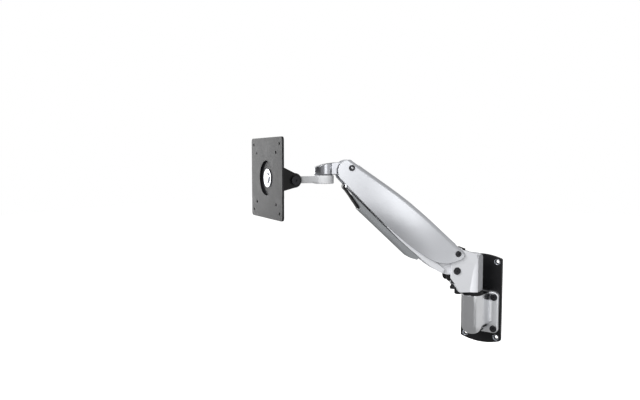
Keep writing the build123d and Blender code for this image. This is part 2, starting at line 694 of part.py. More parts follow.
def make_pivot_bolt(along, seat):
    shank = 2 * seat + PIVOT_BOLT_HEAD_HEIGHT
    bolt = screw(PIVOT_BOLT_HEAD, PIVOT_BOLT_HEAD_HEIGHT, PIVOT_BOLT_DIAMETER, shank)
    return side_plane(UPPER_LINK, along, 0, seat) * bolt


def make_pivot_nut(along, seat):
    inner = PIVOT_BOLT_DIAMETER / 2 + SEAT_FIT
    ring = extrude(Circle(PIVOT_BOLT_HEAD / 2) - Circle(inner), PIVOT_BOLT_HEAD_HEIGHT)
    ring = chamfer(ring.edges().group_by(Axis.Z)[-1].sort_by(SortBy.RADIUS)[-1], HEAD_ROUND)
    return side_plane(UPPER_LINK, along, 0, -seat) * ring


# Gas spring
SPRING_ANGLE = radians(SPRING_LINE_ANGLE)
SPRING_DIRECTION = -(UPPER_LINK.x_dir * cos(SPRING_ANGLE) + UPPER_LINK.y_dir * sin(SPRING_ANGLE))
SPRING = Plane(
    origin=(UPPER_LINK * Pos(SPRING_FRONT_S, SPRING_FRONT_T)).position,
    x_dir=SPRING_DIRECTION,
    z_dir=(-1, 0, 0),
)
ANCHOR_S = -ANCHOR_DROP * sin(PITCH)
ANCHOR_T = -ANCHOR_DROP * cos(PITCH)
EYE_DISTANCE = (SPRING_FRONT_S - ANCHOR_S) * cos(SPRING_ANGLE) + (SPRING_FRONT_T - ANCHOR_T) * sin(
    SPRING_ANGLE
)
CYLINDER_START = FRONT_EYE_RADIUS
CYLINDER_MOUTH = CYLINDER_START + CYLINDER_LENGTH
BRIDGE_END = EYE_DISTANCE - EYE_BRIDGE_START
BRIDGE_START = BRIDGE_END - EYE_BRIDGE_LENGTH


def spring_bar(section, start, end):
    """Round piece on the gas spring's line, between two distances from its front pin."""
    place = Plane(origin=(SPRING * Pos(start, 0)).position, x_dir=(1, 0, 0), z_dir=SPRING_DIRECTION)
    return extrude(place * section, end - start)


def make_gas_cylinder():
    cylinder = spring_bar(Circle(CYLINDER_DIAMETER / 2), CYLINDER_START, CYLINDER_MOUTH)
    cylinder -= spring_bar(
        Circle(CYLINDER_BORE / 2), CYLINDER_START + CYLINDER_END_WALL, CYLINDER_MOUTH
    )
    cylinder += spring_bar(Rectangle(2 * FRONT_EYE_HALF, FRONT_EYE_RADIUS), 0, CYLINDER_START)
    cylinder += cross_pin(SPRING, 0, 0, FRONT_EYE_RADIUS, -FRONT_EYE_HALF, FRONT_EYE_HALF)
    hole = FRONT_PIN_DIAMETER / 2 + RUN_FIT
    return cylinder - cross_pin(SPRING, 0, 0, hole, -FRONT_EYE_HALF, FRONT_EYE_HALF)


def make_front_pin():
    return cross_pin(
        UPPER_LINK,
        SPRING_FRONT_S,
        SPRING_FRONT_T,
        FRONT_PIN_DIAMETER / 2,
        -FRONT_PIN_HALF,
        FRONT_PIN_HALF,
    )


def make_rod_guide():
    ring = Circle(CYLINDER_BORE / 2 - SEAT_FIT) - Circle(ROD_DIAMETER / 2 + RUN_FIT)
    return spring_bar(ring, CYLINDER_MOUTH - GUIDE_LENGTH, CYLINDER_MOUTH)


def make_gas_rod():
    inner_end = CYLINDER_MOUTH - ROD_IN_CYLINDER
    rod = spring_bar(Circle(ROD_DIAMETER / 2), inner_end, BRIDGE_START)
    return rod + spring_bar(Circle(CYLINDER_BORE / 2 - RUN_FIT), inner_end, inner_end + PISTON_LENGTH)


def make_rod_eye():
    hole = TRUNNION_DIAMETER / 2 + OPEN_PIVOT_ROOM
    outer = hole + EYE_WALL
    arm = polygon(
        (BRIDGE_START, -hole), (EYE_DISTANCE, -outer), (EYE_DISTANCE, outer), (BRIDGE_START, hole)
    )
    arm += Pos(EYE_DISTANCE, 0) * Circle(outer)
    arm -= Pos(EYE_DISTANCE, 0) * Circle(hole)
    near, away = pair(SPRING, arm, EYE_ARM_INNER, EYE_ARM_OUTER)
    return near + away + spring_bar(Rectangle(2 * EYE_ARM_OUTER, 2 * hole), BRIDGE_START, BRIDGE_END)


# Lower link
def link_outline():
    top = LINK_CHEEK_RISE
    heel = (LINK_HEEL[0], -LINK_HEEL[1])
    elbow = (LINK_LENGTH, -LINK_ELBOW_RADIUS)
    belly = Spline(
        heel,
        (LINK_BELLY_S, -LINK_BELLY_DEPTH),
        (LINK_WAIST[0], -LINK_WAIST[1]),
        elbow,
        tangents=((1, -LINK_HEEL_SLOPE), (1, 0)),
    )
    body = make_face(
        [
            belly,
            Line(elbow, (LINK_LENGTH, top)),
            Line((LINK_LENGTH, top), (0, top)),
            Line((0, top), (-LINK_SHOULDER_RADIUS, 0)),
            Line((-LINK_SHOULDER_RADIUS, 0), heel),
        ]
    )
    return body + Circle(LINK_SHOULDER_RADIUS) + Pos(LINK_LENGTH, 0) * Circle(LINK_ELBOW_RADIUS)


def skin_outline():
    """Side band of the link that shows between the shell's lip and the cover."""
    band = polygon(
        (LINK_SKIN_START, -LINK_SKIN_TOP[0]),
        (LINK_SKIN_END, -LINK_SKIN_TOP[1]),
        (LINK_SKIN_END, SIDE_GAP - COVER_SHOULDER[1]),
        (COVER_MIDDLE[0], SIDE_GAP - COVER_MIDDLE[1]),
        (COVER_START, SIDE_GAP - COVER_START_TOP),
        (COVER_START, -COVER_START_DEPTH),
        (LINK_SKIN_START, -COVER_START_DEPTH),
    )
    return link_outline() & band


def make_lower_channel():
    near, away = pair(LOWER_LINK, link_outline(), LINK_CHEEK_INNER, LINK_CHEEK_OUTER)
    floor = polygon(
        (LINK_FLOOR_START, -LINK_FLOOR_DEPTH),
        (LINK_FLOOR_END, -LINK_FLOOR_DEPTH),
        (LINK_FLOOR_END, -LINK_FLOOR_DEPTH - LINK_FLOOR_WALL),
        (LINK_FLOOR_START, -LINK_FLOOR_DEPTH - LINK_FLOOR_WALL),
    )
    channel = near + away + slab(LOWER_LINK, floor, -LINK_CHEEK_INNER, LINK_CHEEK_INNER)
    for skin in pair(LOWER_LINK, skin_outline(), LINK_CHEEK_INNER, LINK_SKIN_OUTER):
        channel += skin
    for along, radius in ((0, link_bush_radius()), (LINK_LENGTH, pin_bush_radius())):
        channel -= cross_pin(
            LOWER_LINK, along, 0, radius + SEAT_FIT, -LINK_CHEEK_OUTER, LINK_CHEEK_OUTER
        )
    return channel


def link_bush_radius():
    return STUB_DIAMETER / 2 + LINK_BUSH_WALL


def pin_bush_radius():
    return ELBOW_PIN_DIAMETER / 2 + ELBOW_PIN_BUSH_WALL


def make_link_bushes():
    shoulder = Circle(link_bush_radius()) - Circle(STUB_DIAMETER / 2 + RUN_FIT)
    elbow = Circle(pin_bush_radius()) - Circle(ELBOW_PIN_DIAMETER / 2 + RUN_FIT)
    bushes = pair(LOWER_LINK, shoulder, LINK_CHEEK_INNER, LINK_CHEEK_OUTER)
    return bushes + pair(LOWER_LINK, Pos(LINK_LENGTH, 0) * elbow, LINK_CHEEK_INNER, LINK_CHEEK_OUTER)


def make_cable_cover():
    tail_s, tail_depth = COVER_TAIL
    chin = (COVER_CHIN[0], -COVER_CHIN[1])
    heel = (COVER_END, -COVER_END_DEPTH)
    step = (COVER_END, -COVER_TAIL_ROOT_DEPTH)
    outline = polygon(
        (COVER_START, -COVER_START_TOP),
        (COVER_MIDDLE[0], -COVER_MIDDLE[1]),
        (COVER_SHOULDER[0], -COVER_SHOULDER[1]),
        (COVER_END, -COVER_END_TOP),
        (tail_s, -COVER_TAIL_TOP),
        (tail_s, -tail_depth),
        step,
        heel,
        chin,
        (COVER_START, -COVER_START_DEPTH),
    )
    cover = slab(LOWER_LINK, outline, -COVER_HALF_WIDTH, COVER_HALF_WIDTH)
    hollow = polygon(
        (COVER_START - COVER_WALL, 0),
        (tail_s + COVER_WALL, 0),
        (tail_s + COVER_WALL, COVER_WALL - tail_depth),
        (step[0] - COVER_WALL, COVER_WALL + step[1]),
        (heel[0] - COVER_WALL, COVER_WALL + heel[1]),
        (chin[0], COVER_WALL + chin[1]),
        (COVER_START - COVER_WALL, COVER_WALL - COVER_START_DEPTH),
    )
    keel = cover.edges().filter_by(
        lambda edge: edge.length > (COVER_END - COVER_START) / 2
        and abs(abs(edge.center().X) - COVER_HALF_WIDTH) < COVER_WALL
    )
    keel = keel.sort_by(Axis.Z)[:2]
    cover = chamfer(keel, COVER_CHAMFER)
    return cover - slab(LOWER_LINK, hollow, -LINK_CHEEK_OUTER, LINK_CHEEK_OUTER)


def make_cable_loop():
    lowered = FACE_GAP + LOOP_STRIP / 2
    path = FilletPolyline(
        (COVER_END + LOOP_STRIP / 2, -COVER_TAIL_ROOT_DEPTH - lowered),
        (COVER_TAIL[0], -COVER_TAIL[1] - lowered),
        (LINK_LENGTH, -LOOP_DIP),
        (LINK_LENGTH + LOOP_TOE[0], -LOOP_TOE[1]),
        (LINK_LENGTH + LOOP_TIP[0], -LOOP_TIP[1]),
        radius=LOOP_STRIP,
    )
    return slab(LOWER_LINK, trace(path, LOOP_STRIP), -LOOP_HALF_WIDTH, LOOP_HALF_WIDTH)


def make_bump_pads():
    outline = polygon(*[(along, -depth) for along, depth in PAD_OUTLINE])
    return pair(LOWER_LINK, outline, PAD_INNER, LINK_CHEEK_INNER)


# Elbow
def make_elbow_casting():
    boss_half = SHELL_ELBOW_HALF - SHELL_WALL - ELBOW_SIDE_GAP
    lug_half = LINK_CHEEK_INNER - SIDE_GAP
    lug_z = ELBOW_Z - PIVOT_DROP
    tip = (HUB_AXIS_REACH + HUB_RADIUS, ELBOW_Z + HUB_TOP_RISE)
    back = (ELBOW_REACH, ELBOW_Z + ELBOW_BOSS_RADIUS)
    crest = ((ELBOW_REACH + HUB_AXIS_REACH) / 2, ELBOW_Z + TONGUE_TOP_RISE)
    side = make_face(
        [
            ThreePointArc(back, crest, tip),
            Line(tip, (tip[0], HUB_BOTTOM)),
            Line((tip[0], HUB_BOTTOM), (ELBOW_REACH, HUB_BOTTOM)),
            Line((ELBOW_REACH, HUB_BOTTOM), back),
        ]
    )
    plan = Pos(0, -(AXIS_TO_WALL + HUB_AXIS_REACH)) * Circle(HUB_RADIUS)
    plan += Pos(0, -(AXIS_TO_WALL + ELBOW_REACH + HUB_REACH / 2)) * Rectangle(2 * TONGUE_HALF, HUB_REACH)
    column = Pos(0, 0, HUB_BOTTOM) * extrude(plan, TONGUE_BOTTOM_DROP + 2 * TONGUE_TOP_RISE)
    casting = slab(ARM, side, -HUB_RADIUS, HUB_RADIUS) & column
    casting = fillet(casting.edges().group_by(Axis.Z)[0], ELBOW_EDGE_ROUND)
    casting += cross_pin(ARM, ELBOW_REACH, ELBOW_Z, ELBOW_BOSS_RADIUS, -boss_half, boss_half)
    web = polygon(
        (ELBOW_REACH - ELBOW_LUG_RADIUS, lug_z),
        (ELBOW_REACH + ELBOW_LUG_RADIUS, lug_z),
        (ELBOW_REACH + ELBOW_LUG_RADIUS, ELBOW_Z),
        (ELBOW_REACH - ELBOW_LUG_RADIUS, ELBOW_Z),
    )
    web += Pos(ELBOW_REACH, lug_z) * Circle(ELBOW_LUG_RADIUS)
    casting += slab(ARM, web, -lug_half, lug_half)
    bush = PIVOT_BOLT_DIAMETER / 2 + PIVOT_BUSH_WALL + SEAT_FIT
    casting -= cross_pin(ARM, ELBOW_REACH, ELBOW_Z, bush, -boss_half, boss_half)
    casting -= cross_pin(
        ARM, ELBOW_REACH, lug_z, ELBOW_PIN_DIAMETER / 2 + SEAT_FIT, -boss_half, boss_half
    )
    return casting - pillar(
        HUB_AXIS_REACH,
        SWIVEL_BOLT_DIAMETER / 2 + SEAT_FIT,
        HUB_BOTTOM,
        HUB_BOTTOM + SWIVEL_BOLT_IN_HUB + FACE_GAP,
    )


def make_elbow_bush():
    half = SHELL_ELBOW_HALF - SHELL_WALL - ELBOW_SIDE_GAP
    bolt = PIVOT_BOLT_DIAMETER / 2
    return cross_ring(ARM, ELBOW_REACH, ELBOW_Z, bolt + PIVOT_BUSH_WALL, bolt + RUN_FIT, -half, half)


def clip_seat():
    return LINK_CHEEK_OUTER + SIDE_GAP


def make_elbow_pin():
    half = clip_seat() + CLIP_THICKNESS + SIDE_GAP
    return cross_pin(ARM, ELBOW_REACH, ELBOW_Z - PIVOT_DROP, ELBOW_PIN_DIAMETER / 2, -half, half)


def make_elbow_pin_clips():
    inner = ELBOW_PIN_DIAMETER / 2 + SEAT_FIT
    ring = Pos(ELBOW_REACH, ELBOW_Z - PIVOT_DROP) * (Circle(inner + CLIP_WALL) - Circle(inner))
    return pair(ARM, ring, clip_seat(), clip_seat() + CLIP_THICKNESS)


# Head swivel
def make_swivel_washer():
    inner = SWIVEL_BOLT_DIAMETER / 2 + RUN_FIT
    bottom = HUB_BOTTOM - SWIVEL_WASHER_THICKNESS
    return tube(HUB_AXIS_REACH, HUB_RADIUS - PUCK_ROUND, inner, bottom, HUB_BOTTOM)


def swivel_head_top():
    return PUCK_BOTTOM + SWIVEL_BOLT_HEAD_HEIGHT


def make_swivel_bolt():
    head = pillar(HUB_AXIS_REACH, SWIVEL_BOLT_HEAD / 2, PUCK_BOTTOM, swivel_head_top())
    key = Pos(0, -(AXIS_TO_WALL + HUB_AXIS_REACH), PUCK_BOTTOM)
    head -= key * extrude(RegularPolygon(HEX_KEY, 6), SWIVEL_BOLT_HEAD_HEIGHT / 2)
    top = HUB_BOTTOM + SWIVEL_BOLT_IN_HUB
    return head + pillar(HUB_AXIS_REACH, SWIVEL_BOLT_DIAMETER / 2, swivel_head_top(), top)


def make_swivel_block():
    block = pillar(HUB_AXIS_REACH, PUCK_RADIUS, PUCK_BOTTOM, PUCK_TOP)
    block = fillet(block.edges().filter_by(GeomType.CIRCLE), PUCK_ROUND)
    neck = Pos(0, -(AXIS_TO_WALL + HUB_AXIS_REACH + TILT_REACH / 2), TILT_Z) * Box(
        2 * NECK_HALF, TILT_REACH, PUCK_HEIGHT - 2 * PUCK_ROUND
    )
    neck = fillet(neck.edges().filter_by(Axis.Y), PUCK_ROUND)
    tilt = HUB_AXIS_REACH + TILT_REACH
    block += neck + cross_pin(ARM, tilt, TILT_Z, BARREL_RADIUS, -BARREL_HALF, BARREL_HALF)
    bush = SWIVEL_BOLT_DIAMETER / 2 + SWIVEL_BUSH_WALL + SEAT_FIT
    block -= pillar(HUB_AXIS_REACH, bush, PUCK_BOTTOM, PUCK_TOP)
    pocket = SWIVEL_BOLT_HEAD / 2 + SIDE_GAP
    block -= pillar(HUB_AXIS_REACH, pocket, PUCK_BOTTOM, swivel_head_top() + FACE_GAP)
    axle_bush = TILT_AXLE_DIAMETER / 2 + TILT_BUSH_WALL + SEAT_FIT
    return block - cross_pin(ARM, tilt, TILT_Z, axle_bush, -BARREL_HALF, BARREL_HALF)


def make_swivel_bush():
    bolt = SWIVEL_BOLT_DIAMETER / 2
    bottom = swivel_head_top() + FACE_GAP
    return tube(HUB_AXIS_REACH, bolt + SWIVEL_BUSH_WALL, bolt + RUN_FIT, bottom, PUCK_TOP)


def make_tilt_bush():
    axle = TILT_AXLE_DIAMETER / 2
    reach = HUB_AXIS_REACH + TILT_REACH
    return cross_ring(ARM, reach, TILT_Z, axle + TILT_BUSH_WALL, axle + RUN_FIT, -BARREL_HALF, BARREL_HALF)


# Head tilt
FACE_Z = TILT_Z + HEAD_PLATE_RISE
PLATE_BACK = HEAD_FRONT_REACH - HEAD_PLATE_THICKNESS
DISC_BACK = PLATE_BACK - DISC_THICKNESS
ROLL_WASHER_BACK = DISC_BACK - FACE_GAP - ROLL_WASHER_THICKNESS
WEB_BACK = ROLL_WASHER_BACK - BRACKET_WEB
EAR_INNER = BARREL_HALF + EAR_GAP
EAR_OUTER = EAR_INNER + EAR_WALL


def face_plane(distance):
    """Plane across the head at a distance from the hub's axis, its normal pointing outward."""
    return Plane(
        origin=(0, -(AXIS_TO_WALL + HUB_AXIS_REACH + distance), FACE_Z), x_dir=(1, 0, 0), z_dir=(0, -1, 0)
    )


def make_tilt_bracket():
    tilt = HUB_AXIS_REACH + TILT_REACH
    front = HUB_AXIS_REACH + ROLL_WASHER_BACK
    top = FACE_Z + BRACKET_HEIGHT / 2
    bottom = FACE_Z - BRACKET_HEIGHT / 2
    ear = polygon((tilt, TILT_Z - EAR_RADIUS), (front, bottom), (front, top), (tilt, TILT_Z + EAR_RADIUS))
    ear += Pos(tilt, TILT_Z) * Circle(EAR_RADIUS)
    ear -= Pos(tilt, TILT_Z) * Circle(TILT_AXLE_DIAMETER / 2 + SEAT_FIT)
    near, away = pair(ARM, ear, EAR_INNER, EAR_OUTER)
    web = extrude(face_plane(WEB_BACK) * Rectangle(2 * EAR_OUTER, BRACKET_HEIGHT), BRACKET_WEB)
    bracket = near + away + web
    hole = Circle(CENTRE_BOLT_DIAMETER / 2 + SEAT_FIT)
    return bracket - extrude(face_plane(WEB_BACK) * hole, BRACKET_WEB)


def make_tilt_axle():
    length = 2 * EAR_OUTER + TILT_HEAD_HEIGHT
    axle = screw(TILT_HEAD, TILT_HEAD_HEIGHT, TILT_AXLE_DIAMETER, length)
    return side_plane(ARM, HUB_AXIS_REACH + TILT_REACH, TILT_Z, EAR_OUTER) * axle


def make_tilt_nut():
    hexagon = RegularPolygon(TILT_HEAD / 2, 6) - Circle(TILT_AXLE_DIAMETER / 2 + SEAT_FIT)
    seat = side_plane(ARM, HUB_AXIS_REACH + TILT_REACH, TILT_Z, -EAR_OUTER)
    return seat * extrude(hexagon, TILT_HEAD_HEIGHT)


def make_tilt_washers():
    ring = Circle(BARREL_RADIUS - HEAD_ROUND) - Circle(TILT_AXLE_DIAMETER / 2 + RUN_FIT)
    place = Pos(HUB_AXIS_REACH + TILT_REACH, TILT_Z)
    return pair(ARM, place * ring, BARREL_HALF + FACE_GAP, EAR_INNER)


# Head plate
def make_head_plate():
    face = RectangleRounded(HEAD_PLATE_SIZE, HEAD_PLATE_SIZE, HEAD_PLATE_CORNER) - Circle(DISC_WINDOW / 2)
    for spacing in (LARGE_PATTERN, SMALL_PATTERN):
        for place in corners(spacing, spacing):
            face -= place * Circle(PATTERN_HOLE / 2)
    return extrude(face_plane(PLATE_BACK) * face, HEAD_PLATE_THICKNESS)


def make_plate_disc():
    ring = Circle(DISC_DIAMETER / 2) - Circle(CENTRE_BOLT_DIAMETER / 2 + RUN_FIT)
    return extrude(face_plane(DISC_BACK) * ring, DISC_THICKNESS)


def make_roll_washer():
    ring = Circle(ROLL_WASHER / 2) - Circle(CENTRE_BOLT_DIAMETER / 2 + SEAT_FIT)
    return extrude(face_plane(ROLL_WASHER_BACK) * ring, ROLL_WASHER_THICKNESS)


def make_centre_washer():
    ring = Circle(CENTRE_WASHER / 2) - Circle(CENTRE_BOLT_DIAMETER / 2 + SEAT_FIT)
    return extrude(face_plane(PLATE_BACK + FACE_GAP) * ring, CENTRE_WASHER_THICKNESS)


def make_centre_bolt():
    seat = PLATE_BACK + FACE_GAP + CENTRE_WASHER_THICKNESS
    length = seat - WEB_BACK + CENTRE_NUT_HEIGHT
    return face_plane(seat) * screw(
        CENTRE_BOLT_HEAD, CENTRE_BOLT_HEAD_HEIGHT, CENTRE_BOLT_DIAMETER, length
    )


def make_centre_nut():
    hexagon = RegularPolygon(CENTRE_BOLT_HEAD / 2 + CENTRE_NUT_LAND, 6)
    hexagon -= Circle(CENTRE_BOLT_DIAMETER / 2 + SEAT_FIT)
    return extrude(face_plane(WEB_BACK - CENTRE_NUT_HEIGHT) * hexagon, CENTRE_NUT_HEIGHT)


# Placing at the rest pose, and writing
SWIVEL_AXIS = Axis((0, -AXIS_TO_WALL, 0), (0, 0, 1))
HUB_AXIS = Axis((0, -(AXIS_TO_WALL + HUB_AXIS_REACH), 0), (0, 0, 1))


def fixed(solid):
    return solid


def on_arm(solid):
    return solid.rotate(SWIVEL_AXIS, REST_YAW)


def on_head(solid):
    return solid.rotate(HUB_AXIS, REST_HEAD_YAW).rotate(SWIVEL_AXIS, REST_YAW)


SHOULDER_PIVOT, ELBOW_PIVOT = pivot_places()
NODES = {
    "wall_plate": (fixed, make_wall_plate()),
    "hole_cups": (fixed, make_hole_cups()),
    "wall_socket": (fixed, make_wall_socket()),
    "socket_screws": (fixed, make_socket_screws()),
    "upper_bush": (fixed, make_bush(SOCKET_TOP - BUSH_LENGTH)),
    "lower_bush": (fixed, make_bush(SOCKET_BOTTOM + SOCKET_FLOOR)),
    "bearing_disc": (fixed, make_bearing_disc()),
    "spindle": (on_arm, make_spindle()),
    "shoulder_casting": (on_arm, make_shoulder_casting()),
    "fork_buffer": (on_arm, make_fork_buffer()),
    "swivel_stop": (on_arm, make_swivel_stop()),
    "shoulder_bushes": (on_arm, make_shoulder_bushes()),
    "lower_pivot_screws": (on_arm, make_lower_pivot_screws()),
    "adjuster_screw": (on_arm, make_adjuster_screw()),
    "adjuster_clip": (on_arm, make_adjuster_clip()),
    "anchor_nut": (on_arm, make_anchor_nut()),
    "upper_shell": (on_arm, make_upper_shell()),
    "shoulder_pivot_bolt": (on_arm, make_pivot_bolt(*SHOULDER_PIVOT)),
    "shoulder_pivot_nut": (on_arm, make_pivot_nut(*SHOULDER_PIVOT)),
    "elbow_pivot_bolt": (on_arm, make_pivot_bolt(*ELBOW_PIVOT)),
    "elbow_pivot_nut": (on_arm, make_pivot_nut(*ELBOW_PIVOT)),
    "gas_cylinder": (on_arm, make_gas_cylinder()),
    "gas_front_pin": (on_arm, make_front_pin()),
    "rod_guide": (on_arm, make_rod_guide()),
    "gas_rod": (on_arm, make_gas_rod()),
    "rod_eye": (on_arm, make_rod_eye()),
    "lower_channel": (on_arm, make_lower_channel()),
    "link_bushes": (on_arm, make_link_bushes()),
    "cable_cover": (on_arm, make_cable_cover()),
    "cable_loop": (on_arm, make_cable_loop()),
    "bump_pads": (on_arm, make_bump_pads()),
    "elbow_casting": (on_arm, make_elbow_casting()),
    "elbow_bush": (on_arm, make_elbow_bush()),
    "elbow_pin": (on_arm, make_elbow_pin()),
    "elbow_pin_clips": (on_arm, make_elbow_pin_clips()),
    "swivel_washer": (on_arm, make_swivel_washer()),
    "swivel_bolt": (on_arm, make_swivel_bolt()),
    "swivel_block": (on_head, make_swivel_block()),
    "swivel_bush": (on_head, make_swivel_bush()),
    "tilt_bush": (on_head, make_tilt_bush()),
    "tilt_bracket": (on_head, make_tilt_bracket()),
    "tilt_axle": (on_head, make_tilt_axle()),
    "tilt_nut": (on_head, make_tilt_nut()),
    "tilt_washers": (on_head, make_tilt_washers()),
    "roll_washer": (on_head, make_roll_washer()),
    "centre_bolt": (on_head, make_centre_bolt()),
    "centre_washer": (on_head, make_centre_washer()),
    "centre_nut": (on_head, make_centre_nut()),
    "head_plate": (on_head, make_head_plate()),
    "plate_disc": (on_head, make_plate_disc()),
}

os.makedirs("parts", exist_ok=True)
for name, (place, made) in NODES.items():
    pieces = made if isinstance(made, list) else [made]
    solids = [solid for piece in pieces for solid in place(piece).solids()]
    node = solids[0] if len(solids) == 1 else Compound(solids)
    export_step(node, os.path.join("parts", name + ".step"))
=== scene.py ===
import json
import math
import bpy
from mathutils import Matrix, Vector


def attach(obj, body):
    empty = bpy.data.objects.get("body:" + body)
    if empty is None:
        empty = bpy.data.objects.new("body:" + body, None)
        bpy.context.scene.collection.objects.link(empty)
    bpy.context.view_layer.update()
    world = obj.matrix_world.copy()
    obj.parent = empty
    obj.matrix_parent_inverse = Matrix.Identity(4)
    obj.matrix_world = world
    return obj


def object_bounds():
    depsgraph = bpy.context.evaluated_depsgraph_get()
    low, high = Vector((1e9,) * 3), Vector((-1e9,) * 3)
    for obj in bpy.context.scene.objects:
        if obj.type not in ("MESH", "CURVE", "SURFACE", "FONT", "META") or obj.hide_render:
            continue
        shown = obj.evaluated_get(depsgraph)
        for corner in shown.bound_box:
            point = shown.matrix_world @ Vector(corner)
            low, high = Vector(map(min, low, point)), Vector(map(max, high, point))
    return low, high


bl_info = {
    "name": "Wall arm finishes",
    "version": (1, 0, 0),
    "blender": (4, 5, 0),
    "location": "View3D > Sidebar > Wall arm",
    "description": "Finishes, rounded edges, trim and studio for a gas-spring wall arm",
    "category": "Object",
}

from typing import NamedTuple

import bmesh
import bpy
from bpy.props import FloatProperty, FloatVectorProperty, PointerProperty
from mathutils import Matrix, Vector

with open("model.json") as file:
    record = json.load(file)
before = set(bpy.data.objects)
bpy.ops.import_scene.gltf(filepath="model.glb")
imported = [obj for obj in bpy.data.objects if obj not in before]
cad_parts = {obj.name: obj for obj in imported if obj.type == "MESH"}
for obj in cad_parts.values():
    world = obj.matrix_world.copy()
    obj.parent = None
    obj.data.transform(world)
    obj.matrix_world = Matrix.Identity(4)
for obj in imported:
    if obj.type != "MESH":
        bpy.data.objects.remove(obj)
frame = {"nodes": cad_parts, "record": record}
CAD_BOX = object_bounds()

FINISH_PREFIX = "wall_arm_"
OWN_FINISHES = {
    "wall_socket": "socket_alloy",
    # The elbow casting takes the polished alloy made darker: painted shade on the elbow
    "elbow_casting": "elbow_alloy",
    # The swivel block takes the silver paint made lighter: painted light on the block
    "swivel_block": "block_paint",
}

# Camera and surroundings
PHOTO_WIDTH_PX = 640
SENSOR_WIDTH_MM = 36.0
LEVEL_VIEW = math.radians(90.0)
WHITE = (1.0, 1.0, 1.0)
FLOOR_TONE = 0.9
FLOOR_ROUGHNESS = 0.8

# Direction of the room's bright side, and the band of directions over which it fades in
BRIGHT_SIDE = (0.766, 0.643, 0.0)
BRIGHT_BAND = (0.38, 0.52)

# Rounding of edges, and how far the rounded normal leans where an edge begins and ends
BEVEL_SAMPLES = 6
EDGE_BAND = (0.82, 0.99)

# Sockets of a Mix node that mixes colours
MIX_SHARE = 0
MIX_FIRST = 6
MIX_SECOND = 7
MIX_RESULT = 2

# Outline of the elbow bolt's button, in shares of its radius and rise
BUTTON_OUTLINE = (
    (0.0, -1.0), (1.0, -1.0), (1.0, 0.2), (0.85, 0.7), (0.5, 1.0), (0.25, 0.8), (0.0, 0.5),
)
MERGE_DISTANCE = 1e-6
TURNED_STEPS = 40


class Marks(NamedTuple):
    """Noise in a finish: marks per metre, octaves, the band kept, its share and what it roughens."""

    scale: float | tuple
    detail: float
    band: tuple = ()
    share: float = 1.0
    rough: float = 0.0


# Marks in silver paint
FLAKE = Marks(scale=5200.0, detail=1.0, band=(0.35, 0.72), share=0.55)
CLOUD = Marks(scale=26.0, detail=3.0, share=0.45, rough=0.08)
CLOUD_MEAN = 0.5
PEEL = Marks(scale=900.0, detail=1.0)
THIN_EDGE = Marks(scale=300.0, detail=3.0, band=(0.30, 0.70), share=0.5)

# Marks in buffed alloy, and where the flange's satin begins and ends in front of its face; the same
# band is painted lighter, a painted highlight
BUFFING = Marks(scale=(260.0, 260.0, 3200.0), detail=3.0, rough=0.05)
SMEAR = Marks(scale=42.0, detail=4.0, band=(0.38, 0.75), share=0.6, rough=0.07)
PITS = Marks(scale=1500.0, detail=1.0, band=(0.70, 0.82), share=0.4)
FLANGE_GRAIN = Marks(scale=2600.0, detail=2.0, share=0.2)
SATIN_START = 0.006
SATIN_END = 0.001

# Marks in powder coat and black oxide
POWDER = Marks(scale=2300.0, detail=2.0, rough=0.12)
RUBBED = Marks(scale=60.0, detail=5.0, band=(0.52, 0.80), share=0.5, rough=-0.06)
CHIPPED_EDGE = Marks(scale=420.0, detail=3.0, band=(0.42, 0.72), share=0.7)
OILY_PATCH = Marks(scale=380.0, detail=4.0, band=(0.55, 0.78), share=0.6)
DRIVEN_EDGE = Marks(scale=900.0, detail=3.0, band=(0.35, 0.65), share=0.6)
OXIDE_GRAIN = Marks(scale=4200.0, detail=1.0, rough=0.14)

# Marks in plastic and rubber
PEBBLE = Marks(scale=1700.0, detail=3.0, rough=0.12)
HAZE = Marks(scale=34.0, detail=3.0)
HANDLED_EDGE = Marks(scale=260.0, detail=3.0, band=(0.30, 0.70), share=0.6, rough=-0.10)
BLOOM = Marks(scale=220.0, detail=4.0, band=(0.45, 0.80), share=0.4, rough=0.10)
RUBBER_GRAIN = Marks(scale=1300.0, detail=2.0)

# Marks in bronze, steel and zinc
PORES = Marks(scale=3000.0, detail=2.0, band=(0.55, 0.70), share=0.5)
OIL_STAIN = Marks(scale=120.0, detail=4.0, share=0.3, rough=0.15)
GRINDING = Marks(scale=(500.0, 500.0, 6000.0), detail=2.0, rough=0.16)
PLATING_TINT = Marks(scale=90.0, detail=3.0, rough=0.08)
PLATING_GRAIN = Marks(scale=1400.0, detail=2.0)
COOL_TINT = (0.94, 0.97, 1.04)


# Values in the sidebar


def colour_property(label, text, default):
    return FloatVectorProperty(
        name=label, description=text, subtype="COLOR", size=3, min=0.0, max=1.0, default=default
    )


def share_property(label, text, default):
    return FloatProperty(
        name=label, description=text, subtype="FACTOR", min=0.0, max=1.0, default=default
    )


def power_property(label, text, default):
    return FloatProperty(name=label, description=text, unit="POWER", min=0.0, default=default)


def length_property(label, text, default):
    return FloatProperty(name=label, description=text, unit="LENGTH", precision=5, default=default)


def angle_property(label, text, degrees):
    return FloatProperty(
        name=label, description=text, subtype="ANGLE", default=math.radians(degrees)
    )


def place_property(label, text, default):
    return FloatVectorProperty(
        name=label, description=text, subtype="TRANSLATION", unit="LENGTH", default=default
    )


def extent_property(label, text, default):
    return FloatVectorProperty(
        name=label, description=text, unit="LENGTH", size=2, min=0.0, default=default
    )


